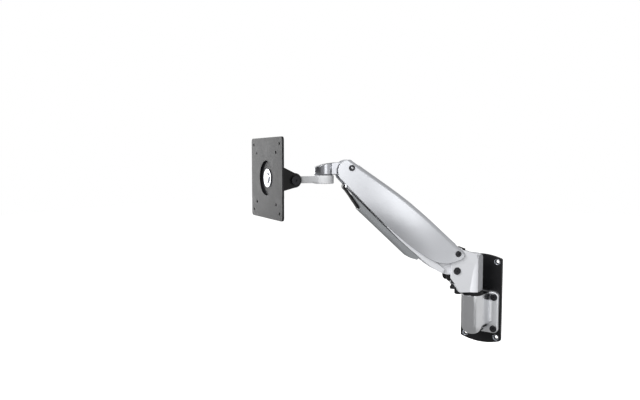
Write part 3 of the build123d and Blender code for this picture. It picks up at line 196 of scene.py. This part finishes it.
class WallArmFinishes(bpy.types.PropertyGroup):
    """Colours and gloss of the arm's finishes"""

    shell: colour_property("Shell", "Satin silver of the upper shell", (0.57, 0.582, 0.61))
    paint: colour_property("Paint", "Silver paint of shoulder and lower link", (0.73, 0.74, 0.77))
    # Block: the silver paint lightened, painted light standing in for the light falling on the
    # swivel block
    block: colour_property("Block", "Pale paint of the block under the elbow", (0.86, 0.87, 0.89))
    # Elbow: the polished alloy darkened, painted shade standing in for the dimmer reflection on the
    # elbow casting
    elbow: colour_property("Elbow", "Brushed alloy of the elbow casting", (0.52, 0.53, 0.56))
    alloy: colour_property("Alloy", "Polished castings of socket and head", (0.80, 0.81, 0.83))
    coat: colour_property("Coat", "Powder coat of wall and head plate", (0.006, 0.006, 0.007))
    screw: colour_property("Screws", "Black oxide of the screws", (0.022, 0.022, 0.025))
    plastic: colour_property("Plastic", "Disc, cable loop and washers", (0.008, 0.008, 0.009))
    cover: colour_property("Cable cover", "Grey of the cable cover", (0.25, 0.26, 0.27))
    bronze: colour_property("Bronze", "Sintered bushes", (0.50, 0.36, 0.18))
    steel: colour_property("Steel", "Ground pins and spindle", (0.52, 0.53, 0.55))
    zinc: colour_property("Zinc", "Bright plated cups, bolt and rod", (0.78, 0.79, 0.81))
    rubber: colour_property("Rubber", "Bump pads and buffers", (0.012, 0.012, 0.012))
    shell_metal: share_property("Shell metal", "How metallic the shell's paint is", 0.80)
    paint_metal: share_property("Paint metal", "How metallic the shoulder's paint is", 0.03)
    shell_roughness: share_property("Shell roughness", "Satin of the shell's paint", 0.32)
    paint_roughness: share_property("Paint roughness", "Matt of the shoulder's paint", 0.50)
    alloy_roughness: share_property("Alloy roughness", "Polish of the castings", 0.13)
    elbow_roughness: share_property("Elbow roughness", "Brushed alloy of the elbow", 0.26)
    flange_roughness: share_property("Flange roughness", "Satin of the socket's flange", 0.42)
    coat_roughness: share_property("Coat roughness", "Matt of the plates' powder coat", 0.36)
    spring_roughness: share_property("Spring roughness", "Gloss of the gas spring's coat", 0.22)
    screw_roughness: share_property("Screw roughness", "Oily sheen of the screws", 0.30)
    plastic_roughness: share_property("Plastic roughness", "Matt of the black plastic", 0.42)
    cover_roughness: share_property("Cover roughness", "Matt of the cable cover", 0.40)
    bronze_roughness: share_property("Bronze roughness", "Matt of the bushes", 0.35)
    steel_roughness: share_property("Steel roughness", "Gloss of the ground steel", 0.22)
    zinc_roughness: share_property("Zinc roughness", "Gloss of the plating", 0.12)
    rubber_roughness: share_property("Rubber roughness", "Matt of the rubber", 0.72)
    flange_face: length_property("Flange face", "Front of the flange, from the wall", -0.0140)


class WallArmEdges(bpy.types.PropertyGroup):
    """Width of the rounded edges"""

    casting: length_property("Castings", "Edge round of the castings", 0.0009)
    plate: length_property("Plates", "Edge round of the flat plates", 0.0005)
    fastener: length_property("Fasteners", "Edge round of screws and turned pieces", 0.00025)


class WallArmButton(bpy.types.PropertyGroup):
    """The bright button in the elbow bolt's head"""

    radius: length_property("Radius", "Radius of the button", 0.0019)
    rise: length_property("Rise", "How far the button's crown stands out of the head", 0.0006)


class WallArmStage(bpy.types.PropertyGroup):
    """Camera, floor and light; soft boxes are placed from the arm's middle"""

    camera_place: place_property("Camera", "Place of the camera", (0.3393, -0.9770, 0.2394))
    camera_azimuth: angle_property("Azimuth", "View to the left of straight at the wall", 34.86)
    camera_drop: angle_property("Drop", "View below level", 4.09)
    focal_px: FloatProperty(
        name="Focal length", description="Focal length in pixels of the photograph's width",
        subtype="PIXEL", default=584.5,
    )
    floor_drop: length_property("Floor", "How far the floor lies below the object", 0.30)
    floor_size: length_property("Floor size", "Side of the floor", 12.0)
    floor_glow: share_property("Floor glow", "Evens out the floor's white", 0.85)
    room: share_property("Room", "Brightness of the room", 0.30)
    bright_side: share_property("Bright side", "Brightness of the right side, mirrored", 0.72)
    key_place: place_property("Key box", "Soft box high in front", (-0.40, -1.50, 0.90))
    key_size: extent_property("Key size", "Width and height of the key box", (1.0, 1.0))
    key_power: power_property("Key power", "Power of the key box", 36.0)
    fill_place: place_property("Fill box", "Soft box beside the camera", (0.44, -1.64, 0.12))
    fill_size: extent_property("Fill size", "Width and height of the fill box", (1.0, 1.0))
    fill_power: power_property("Fill power", "Power of the fill box", 11.0)
    back_place: place_property("Back box", "Soft box behind the arm", (-1.65, 0.60, 0.30))
    back_size: extent_property("Back size", "Width and height of the back box", (1.6, 1.2))
    back_power: power_property("Back power", "Power of the back box", 20.0)
    right_place: place_property("Right box", "Tall reflector on the right", (1.34, -0.84, 0.11))
    right_size: extent_property("Right size", "Width and height of the right box", (0.7, 1.0))
    right_power: power_property("Right power", "Power of the right box", 4.4)


# Shader maths


class Value:
    """Output socket of a node; Python's operators add Math nodes to its finish."""

    def __init__(self, finish, socket):
        self.finish = finish
        self.socket = socket

    def math(self, operation, first, second):
        return self.finish.add("ShaderNodeMath", {"operation": operation}, {0: first, 1: second})

    def __add__(self, other):
        return self.math("ADD", self, other)

    def __radd__(self, other):
        return self.math("ADD", other, self)

    def __sub__(self, other):
        return self.math("SUBTRACT", self, other)

    def __rsub__(self, other):
        return self.math("SUBTRACT", other, self)

    def __mul__(self, other):
        return self.math("MULTIPLY", self, other)


class Nodes:
    """The nodes of one shader, and what joins them."""

    def __init__(self, owner, shader, coordinate):
        owner.use_nodes = True
        self.tree = owner.node_tree
        self.shader = self.tree.nodes[shader]
        self.place = self.add("ShaderNodeTexCoord", output=coordinate)

    def add(self, kind, settings=None, inputs=None, output=0):
        """Adds any node: its settings first, then the values or links of its sockets."""
        node = self.tree.nodes.new(kind)
        for key, value in (settings or {}).items():
            setattr(node, key, value)
        for key, value in (inputs or {}).items():
            self.feed(node.inputs[key], value)
        return Value(self, node.outputs[output])

    def feed(self, socket, value):
        if isinstance(value, Value):
            self.tree.links.new(value.socket, socket)
        else:
            socket.default_value = value

    def spread(self, value, low, high):
        """The part of a value between low and high, drawn out to 0 and 1."""
        inputs = {"Value": value, "From Min": low, "From Max": high}
        return self.add("ShaderNodeMapRange", {"clamp": True}, inputs)

    def dot(self, first, second):
        inputs = {0: first, 1: second}
        return self.add("ShaderNodeVectorMath", {"operation": "DOT_PRODUCT"}, inputs, "Value")

    def blend(self, first, second, share):
        inputs = {MIX_SHARE: share, MIX_FIRST: first, MIX_SECOND: second}
        return self.add("ShaderNodeMix", {"data_type": "RGBA"}, inputs, MIX_RESULT)

    def axis(self, name):
        return self.add("ShaderNodeSeparateXYZ", None, {0: self.place}, name)

    def surface(self, **sockets):
        for key, value in sockets.items():
            self.feed(self.shader.inputs[key.replace("_", " ")], value)


class Finish(Nodes):
    """A material and the nodes of its one shader, with rounded and worn edges."""

    def __init__(self, name, edge_width=0.0):
        self.material = bpy.data.materials.new(name)
        super().__init__(self.material, "Principled BSDF", "Object")
        facing = self.add("ShaderNodeNewGeometry", output="Normal")
        self.rounding = self.add(
            "ShaderNodeBevel", {"samples": BEVEL_SAMPLES}, {"Radius": edge_width}
        )
        self.edge = 1.0 - self.spread(self.dot(self.rounding, facing), *EDGE_BAND)

    def marks(self, kind):
        """Noise of one kind; a scale for each axis draws it out into lines."""
        place, scale = self.place, kind.scale
        if isinstance(scale, tuple):
            place = self.add("ShaderNodeMapping", None, {"Vector": place, "Scale": scale})
            scale = 1.0
        inputs = {"Vector": place, "Scale": scale, "Detail": kind.detail}
        noise = self.add("ShaderNodeTexNoise", None, inputs)
        return self.spread(noise, *kind.band) if kind.band else noise

    def worn_edge(self, kind):
        """The edges, broken up where hands and tools have rubbed them."""
        return self.edge * self.marks(kind)

    def bump(self, height, strength, depth):
        inputs = {"Height": height, "Strength": strength, "Distance": depth}
        return self.add("ShaderNodeBump", None, {**inputs, "Normal": self.rounding})

    def surface(self, **sockets):
        super().surface(**sockets)
        return self.material


def shade(colour, factor):
    return (colour[0] * factor, colour[1] * factor, colour[2] * factor, 1.0)


def shades(colour, *factors):
    return [shade(colour, factor) for factor in factors]


# Finishes


def metallic_paint(name, edge_width, colour, roughness, metal):
    """Satin silver paint: fine flake, slow cloudiness, a faint orange peel, thin on the edges."""
    finish = Finish(name, edge_width)
    dull, bright, thinned = shades(colour, 0.90, 1.08, 1.20)
    cloud = finish.marks(CLOUD)
    mottle = finish.marks(FLAKE) * FLAKE.share + cloud * CLOUD.share
    thin = finish.worn_edge(THIN_EDGE) * THIN_EDGE.share
    return finish.surface(
        Base_Color=finish.blend(finish.blend(dull, bright, mottle), thinned, thin),
        Metallic=metal,
        Roughness=roughness + (cloud - CLOUD_MEAN) * CLOUD.rough,
        Specular_IOR_Level=0.25,
        Normal=finish.bump(finish.marks(PEEL), strength=0.05, depth=0.0004),
    )


def buffed(finish, roughness):
    """The buffing wheel's lines and smears, and the roughness they leave."""
    lines = finish.marks(BUFFING)
    smear = finish.marks(SMEAR)
    return lines, smear, roughness + smear * SMEAR.rough + lines * BUFFING.rough


def polished_casting(name, edge_width, colour, roughness):
    """Buffed alloy: fine polishing lines, small pits and finger-wide smears."""
    finish = Finish(name, edge_width)
    clean, smeared = shades(colour, 1.0, 0.88)
    lines, smear, polish = buffed(finish, roughness)
    soiled = smear * SMEAR.share + finish.marks(PITS) * PITS.share
    return finish.surface(
        Base_Color=finish.blend(clean, smeared, soiled),
        Metallic=1.0,
        Roughness=polish,
        Normal=finish.bump(lines, strength=0.035, depth=0.0003),
    )


def socket_casting(name, edge_width, colour, roughness, flange_face, flange_roughness):
    """The socket's buffed alloy, left satin on the flange, where the wheel can't reach; the flange's
    colour is lightened there, a painted highlight.
    """
    finish = Finish(name, edge_width)
    # pale is the alloy lightened, the colour of the painted highlight on the flange
    clean, smeared, pale = shades(colour, 1.0, 0.88, 1.12)
    lines, smear, polish = buffed(finish, roughness)
    depth = finish.axis("Y")
    satin = finish.spread(depth, flange_face - SATIN_START, flange_face - SATIN_END)
    grain = satin * finish.marks(FLANGE_GRAIN)
    base = finish.blend(clean, smeared, smear * SMEAR.share * (1.0 - satin))
    # The satin band, broken up by real grain, lightens the alloy: a painted highlight on the flange
    flange_painted_light_and_grain = satin * (1.0 - FLANGE_GRAIN.share) + grain * FLANGE_GRAIN.share
    return finish.surface(
        Base_Color=finish.blend(base, pale, flange_painted_light_and_grain),
        Metallic=1.0,
        Roughness=polish + satin * (flange_roughness - roughness),
        Normal=finish.bump(lines + grain, strength=0.035, depth=0.0003),
    )


def powder_coat(name, edge_width, colour, roughness):
    """Black powder coat: close grain, rubbed lighter spots and edges."""
    finish = Finish(name, edge_width)
    fresh, lighter, bare = shades(colour, 1.0, 2.2, 9.0)
    grain = finish.marks(POWDER)
    rubbed = finish.marks(RUBBED)
    base = finish.blend(fresh, lighter, rubbed * RUBBED.share)
    return finish.surface(
        Base_Color=finish.blend(base, bare, finish.worn_edge(CHIPPED_EDGE) * CHIPPED_EDGE.share),
        Roughness=roughness + grain * POWDER.rough + rubbed * RUBBED.rough,
        Specular_IOR_Level=0.25,
        Normal=finish.bump(grain, strength=0.12, depth=0.0005),
    )


def black_oxide(name, edge_width, colour, roughness):
    """Blackened steel: oily dark metal, brighter where the driver has worn it."""
    finish = Finish(name, edge_width)
    fresh, oily, bare = shades(colour, 1.0, 3.0, 6.0)
    grain = finish.marks(OXIDE_GRAIN)
    base = finish.blend(fresh, oily, finish.marks(OILY_PATCH) * OILY_PATCH.share)
    return finish.surface(
        Base_Color=finish.blend(base, bare, finish.worn_edge(DRIVEN_EDGE) * DRIVEN_EDGE.share),
        Metallic=0.6,
        Roughness=roughness + grain * OXIDE_GRAIN.rough,
        Normal=finish.bump(grain, strength=0.06, depth=0.0003),
    )


def moulded_plastic(name, edge_width, colour, roughness):
    """Moulded plastic: spark-eroded texture, a dusting of haze, edges polished by handling."""
    finish = Finish(name, edge_width)
    deep, hazy, polished = shades(colour, 0.92, 1.12, 1.35)
    pebble = finish.marks(PEBBLE)
    handled = finish.worn_edge(HANDLED_EDGE)
    base = finish.blend(deep, hazy, finish.marks(HAZE))
    return finish.surface(
        Base_Color=finish.blend(base, polished, handled * HANDLED_EDGE.share),
        Roughness=roughness + pebble * PEBBLE.rough + handled * HANDLED_EDGE.rough,
        Specular_IOR_Level=0.18,
        Normal=finish.bump(pebble, strength=0.10, depth=0.0005),
    )


def sintered_bronze(name, edge_width, colour, roughness):
    """Oil-filled bronze: open pores and dark oil staining."""
    finish = Finish(name, edge_width)
    clean, oiled = shades(colour, 1.05, 0.45)
    pores = finish.marks(PORES)
    stain = finish.marks(OIL_STAIN)
    return finish.surface(
        Base_Color=finish.blend(clean, oiled, pores * PORES.share + stain * OIL_STAIN.share),
        Metallic=1.0,
        Roughness=roughness + stain * OIL_STAIN.rough,
        Normal=finish.bump(pores, strength=-0.15, depth=0.0004),
    )


def ground_steel(name, edge_width, colour, roughness):
    """Ground steel: fine crosswise grinding lines."""
    finish = Finish(name, edge_width)
    dull, bright = shades(colour, 0.9, 1.1)
    lines = finish.marks(GRINDING)
    return finish.surface(
        Base_Color=finish.blend(dull, bright, lines),
        Metallic=1.0,
        Roughness=roughness + lines * GRINDING.rough,
        Normal=finish.bump(lines, strength=0.08, depth=0.0003),
    )


def bright_plating(name, edge_width, colour, roughness):
    """Bright zinc: mirror-like with a slow blue and straw tint."""
    finish = Finish(name, edge_width)
    tint = finish.marks(PLATING_TINT)
    cool = (*(part * lean for part, lean in zip(colour, COOL_TINT)), 1.0)
    return finish.surface(
        Base_Color=finish.blend(cool, shade(colour, 1.0), tint),
        Metallic=1.0,
        Roughness=roughness + tint * PLATING_TINT.rough,
        Normal=finish.bump(finish.marks(PLATING_GRAIN), strength=0.02, depth=0.0002),
    )


def soft_rubber(name, edge_width, colour, roughness):
    """Moulded rubber: matt, with bloom in the hollows."""
    finish = Finish(name, edge_width)
    black, bloomed = shades(colour, 1.0, 3.5)
    bloom = finish.marks(BLOOM)
    return finish.surface(
        Base_Color=finish.blend(black, bloomed, bloom * BLOOM.share),
        Roughness=roughness + bloom * BLOOM.rough,
        Specular_IOR_Level=0.2,
        Normal=finish.bump(finish.marks(RUBBER_GRAIN), strength=0.12, depth=0.0004),
    )


def make_finishes():
    """Makes every finish once, under its slot's name."""
    look = bpy.context.scene.wall_arm_finishes
    edges = bpy.context.scene.wall_arm_edges
    casting, plate, small = edges.casting, edges.plate, edges.fastener
    alloy = (casting, look.alloy, look.alloy_roughness)
    makers = {
        "shell_silver": (
            metallic_paint, casting, look.shell, look.shell_roughness, look.shell_metal,
        ),
        "silver_paint": (
            metallic_paint, casting, look.paint, look.paint_roughness, look.paint_metal,
        ),
        # The block's finish is the silver paint lightened, painted light
        "block_paint": (
            metallic_paint, casting, look.block, look.paint_roughness, look.paint_metal,
        ),
        "polished_alloy": (polished_casting, *alloy),
        # The elbow's finish is the polished alloy darkened, painted shade
        "elbow_alloy": (polished_casting, casting, look.elbow, look.elbow_roughness),
        "socket_alloy": (socket_casting, *alloy, look.flange_face, look.flange_roughness),
        "black_plate": (powder_coat, plate, look.coat, look.coat_roughness),
        "black_screw": (black_oxide, small, look.screw, look.screw_roughness),
        "black_plastic": (moulded_plastic, plate, look.plastic, look.plastic_roughness),
        "grey_cover": (moulded_plastic, plate, look.cover, look.cover_roughness),
        "spring_black": (powder_coat, plate, look.coat, look.spring_roughness),
        "bush_bronze": (sintered_bronze, small, look.bronze, look.bronze_roughness),
        "steel": (ground_steel, small, look.steel, look.steel_roughness),
        "bright_steel": (bright_plating, small, look.zinc, look.zinc_roughness),
        "rubber": (soft_rubber, plate, look.rubber, look.rubber_roughness),
    }
    for slot, (maker, *values) in makers.items():
        maker(FINISH_PREFIX + slot, *values)


def finish_of(slot):
    if FINISH_PREFIX + slot not in bpy.data.materials:
        make_finishes()
    return bpy.data.materials[FINISH_PREFIX + slot]


# Pieces


def slot_of(node):
    for entry in frame["record"]["subparts"]:
        if entry["node"] == node:
            return entry["material_slot"]
    raise RuntimeError(f"no finish is named for {node}")


def dress(node):
    """Gives a carried-over node its finish."""
    piece = frame["nodes"][node]
    piece.data.materials.clear()
    piece.data.materials.append(finish_of(OWN_FINISHES.get(node) or slot_of(node)))


def turned(name, outline):
    """Turns an outline of radius and height pairs about Z into a smooth skin."""
    work = bmesh.new()
    points = [work.verts.new((radius, 0.0, height)) for radius, height in outline]
    edges = [work.edges.new(ends) for ends in zip(points, points[1:])]
    bmesh.ops.spin(
        work, geom=points + edges, axis=(0, 0, 1), cent=(0, 0, 0),
        angle=math.tau, steps=TURNED_STEPS,
    )
    bmesh.ops.remove_doubles(work, verts=work.verts, dist=MERGE_DISTANCE)
    bmesh.ops.recalc_face_normals(work, faces=work.faces)
    for face in work.faces:
        face.smooth = True
    mesh = bpy.data.meshes.new(name)
    work.to_mesh(mesh)
    work.free()
    piece = bpy.data.objects.new(name, mesh)
    bpy.context.scene.collection.objects.link(piece)
    return piece


def fit_bolt_button(button):
    """Sets a bright crowned button with a dimple into the elbow bolt's head."""
    joints = {joint["name"]: joint for joint in frame["record"]["behaviour"]["joints"]}
    pivot = Vector(joints["elbow_level"]["pos_m"])
    outward = -Vector(joints["elbow_level"]["axis"]).normalized()
    bolt = frame["nodes"]["elbow_pivot_bolt"]
    head = max((corner.co - pivot).dot(outward) for corner in bolt.data.vertices)
    outline = [(button.radius * out, button.rise * up) for out, up in BUTTON_OUTLINE]
    piece = turned("elbow_bolt_button", outline)
    turn = outward.to_track_quat("Z", "Y").to_matrix().to_4x4()
    piece.data.transform(Matrix.Translation(pivot + outward * head) @ turn)
    piece.data.materials.append(finish_of("steel"))
    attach(piece, "upper_link")


class WallArmOperator:
    """What every operator of the arm shares."""

    bl_options = {"REGISTER", "UNDO"}
    nodes = ()

    def execute(self, context):
        for node in self.nodes:
            dress(node)
        return {"FINISHED"}


class WALLARM_OT_wall_mount(WallArmOperator, bpy.types.Operator):
    """Finishes the wall plate, its cups, the socket and the bearings in it"""

    bl_idname = "wallarm.wall_mount"
    bl_label = "Wall mount"
    nodes = (
        "wall_plate", "hole_cups", "wall_socket", "socket_screws", "upper_bush", "lower_bush",
        "bearing_disc",
    )


class WALLARM_OT_shoulder(WallArmOperator, bpy.types.Operator):
    """Finishes the swivelling shoulder and its tension adjuster"""

    bl_idname = "wallarm.shoulder"
    bl_label = "Shoulder"
    nodes = (
        "spindle", "shoulder_casting", "fork_buffer", "swivel_stop", "shoulder_bushes",
        "lower_pivot_screws", "adjuster_screw", "adjuster_clip", "anchor_nut",
    )


class WALLARM_OT_upper_link(WallArmOperator, bpy.types.Operator):
    """Finishes the upper shell, its pivots and the gas spring"""

    bl_idname = "wallarm.upper_link"
    bl_label = "Upper link"
    nodes = (
        "upper_shell", "shoulder_pivot_bolt", "shoulder_pivot_nut", "elbow_pivot_bolt",
        "elbow_pivot_nut", "gas_cylinder", "gas_front_pin", "rod_guide", "gas_rod", "rod_eye",
    )

    def execute(self, context):
        super().execute(context)
        fit_bolt_button(context.scene.wall_arm_button)
        return {"FINISHED"}


class WALLARM_OT_lower_link(WallArmOperator, bpy.types.Operator):
    """Finishes the lower link, its cable cover, loop and pads"""

    bl_idname = "wallarm.lower_link"
    bl_label = "Lower link"
    nodes = ("lower_channel", "link_bushes", "cable_cover", "cable_loop", "bump_pads")


class WALLARM_OT_elbow(WallArmOperator, bpy.types.Operator):
    """Finishes the elbow casting, its pivots and the swivel in it"""

    bl_idname = "wallarm.elbow"
    bl_label = "Elbow"
    nodes = (
        "elbow_casting", "elbow_bush", "elbow_pin", "elbow_pin_clips", "swivel_washer",
        "swivel_bolt", "swivel_block", "swivel_bush", "tilt_bush",
    )


class WALLARM_OT_head(WallArmOperator, bpy.types.Operator):
    """Finishes the tilt bracket and the head plate"""

    bl_idname = "wallarm.head"
    bl_label = "Head"
    nodes = (
        "tilt_bracket", "tilt_axle", "tilt_nut", "tilt_washers", "roll_washer", "centre_bolt",
        "centre_washer", "centre_nut", "head_plate", "plate_disc",
    )


# Stage


def set_camera(scene, stage):
    lens = bpy.data.cameras.new("photo_camera")
    lens.sensor_width = SENSOR_WIDTH_MM
    lens.lens = stage.focal_px / PHOTO_WIDTH_PX * SENSOR_WIDTH_MM
    camera = bpy.data.objects.new("photo_camera", lens)
    turn = Matrix.Rotation(stage.camera_azimuth, 4, "Z")
    tip = Matrix.Rotation(LEVEL_VIEW - stage.camera_drop, 4, "X")
    camera.matrix_world = Matrix.Translation(stage.camera_place) @ turn @ tip
    scene.collection.objects.link(camera)
    scene.camera = camera
    scene.view_settings.view_transform = "Standard"


def lay_floor(stage):
    """A pale floor that only the camera sees, so that it throws no light up."""
    below = (0.0, 0.0, CAD_BOX[0].z - stage.floor_drop)
    bpy.ops.mesh.primitive_plane_add(size=stage.floor_size, location=below)
    floor = bpy.context.active_object
    floor.name = "pale_floor"
    pale = Finish("pale_floor").surface(
        Base_Color=shade(WHITE, FLOOR_TONE),
        Roughness=FLOOR_ROUGHNESS,
        Emission_Color=shade(WHITE, 1.0),
        Emission_Strength=stage.floor_glow,
    )
    floor.data.materials.append(pale)
    floor.visible_diffuse = False
    floor.visible_glossy = False
    floor.visible_shadow = False


def light_room(stage):
    """White for the eye, and a dim room with one bright side for reflections."""
    world = bpy.data.worlds.new("studio")
    bpy.context.scene.world = world
    room = Nodes(world, "Background", "Generated")
    towards = room.dot(room.place, BRIGHT_SIDE)
    height = room.axis("Z")
    mirrored = room.add("ShaderNodeLightPath", output="Is Glossy Ray")
    share = room.spread(towards, *BRIGHT_BAND) * (1.0 - height * height) * mirrored
    dim = room.blend(shade(WHITE, stage.room), shade(WHITE, stage.bright_side), share)
    eye = room.add("ShaderNodeLightPath", output="Is Camera Ray")
    room.surface(Color=room.blend(dim, shade(WHITE, 1.0), eye))


def soft_box(stage, name):
    """An area light that faces the arm's middle, with the stage's place, size and power."""
    middle = (CAD_BOX[0] + CAD_BOX[1]) / 2
    away = Vector(getattr(stage, f"{name}_place"))
    light = bpy.data.lights.new(f"{name}_box", "AREA")
    light.shape = "RECTANGLE"
    light.size, light.size_y = getattr(stage, f"{name}_size")
    light.energy = getattr(stage, f"{name}_power")
    lamp = bpy.data.objects.new(f"{name}_box", light)
    lamp.location = middle + away
    lamp.rotation_mode = "QUATERNION"
    lamp.rotation_quaternion = (-away).to_track_quat("-Z", "Y")
    bpy.context.scene.collection.objects.link(lamp)
    return lamp


class WALLARM_OT_stage(bpy.types.Operator):
    """Sets the camera at the photograph's angle, the pale floor and the soft light"""

    bl_idname = "wallarm.stage"
    bl_label = "Stage"
    bl_options = {"REGISTER", "UNDO"}

    def execute(self, context):
        stage = context.scene.wall_arm_stage
        set_camera(context.scene, stage)
        lay_floor(stage)
        light_room(stage)
        soft_box(stage, "key")
        soft_box(stage, "fill").visible_glossy = False
        soft_box(stage, "back")
        soft_box(stage, "right").visible_diffuse = False
        return {"FINISHED"}


# Add-on


class WALLARM_PT_sidebar(bpy.types.Panel):
    """The arm's pieces, finishes and stage"""

    bl_idname = "WALLARM_PT_sidebar"
    bl_label = "Wall arm"
    bl_space_type = "VIEW_3D"
    bl_region_type = "UI"
    bl_category = "Wall arm"

    def draw(self, context):
        for made in OPERATORS:
            self.layout.operator(made.bl_idname)
        for group in GROUPS.values():
            self.layout.separator()
            values = getattr(context.scene, group)
            for key in values.__annotations__:
                self.layout.prop(values, key)


GROUPS = {
    WallArmFinishes: "wall_arm_finishes",
    WallArmEdges: "wall_arm_edges",
    WallArmButton: "wall_arm_button",
    WallArmStage: "wall_arm_stage",
}
OPERATORS = (
    WALLARM_OT_wall_mount,
    WALLARM_OT_shoulder,
    WALLARM_OT_upper_link,
    WALLARM_OT_lower_link,
    WALLARM_OT_elbow,
    WALLARM_OT_head,
    WALLARM_OT_stage,
)


def register():
    for group, attribute in GROUPS.items():
        bpy.utils.register_class(group)
        setattr(bpy.types.Scene, attribute, PointerProperty(type=group))
    for made in OPERATORS:
        bpy.utils.register_class(made)
    bpy.utils.register_class(WALLARM_PT_sidebar)


def unregister():
    bpy.utils.unregister_class(WALLARM_PT_sidebar)
    for made in reversed(OPERATORS):
        bpy.utils.unregister_class(made)
    for group, attribute in GROUPS.items():
        delattr(bpy.types.Scene, attribute)
        bpy.utils.unregister_class(group)


def main():
    register()
    bpy.ops.wallarm.wall_mount()
    bpy.ops.wallarm.shoulder()
    bpy.ops.wallarm.upper_link()
    bpy.ops.wallarm.lower_link()
    bpy.ops.wallarm.elbow()
    bpy.ops.wallarm.head()
    bpy.ops.wallarm.stage()


if __name__ == "__main__":
    main()
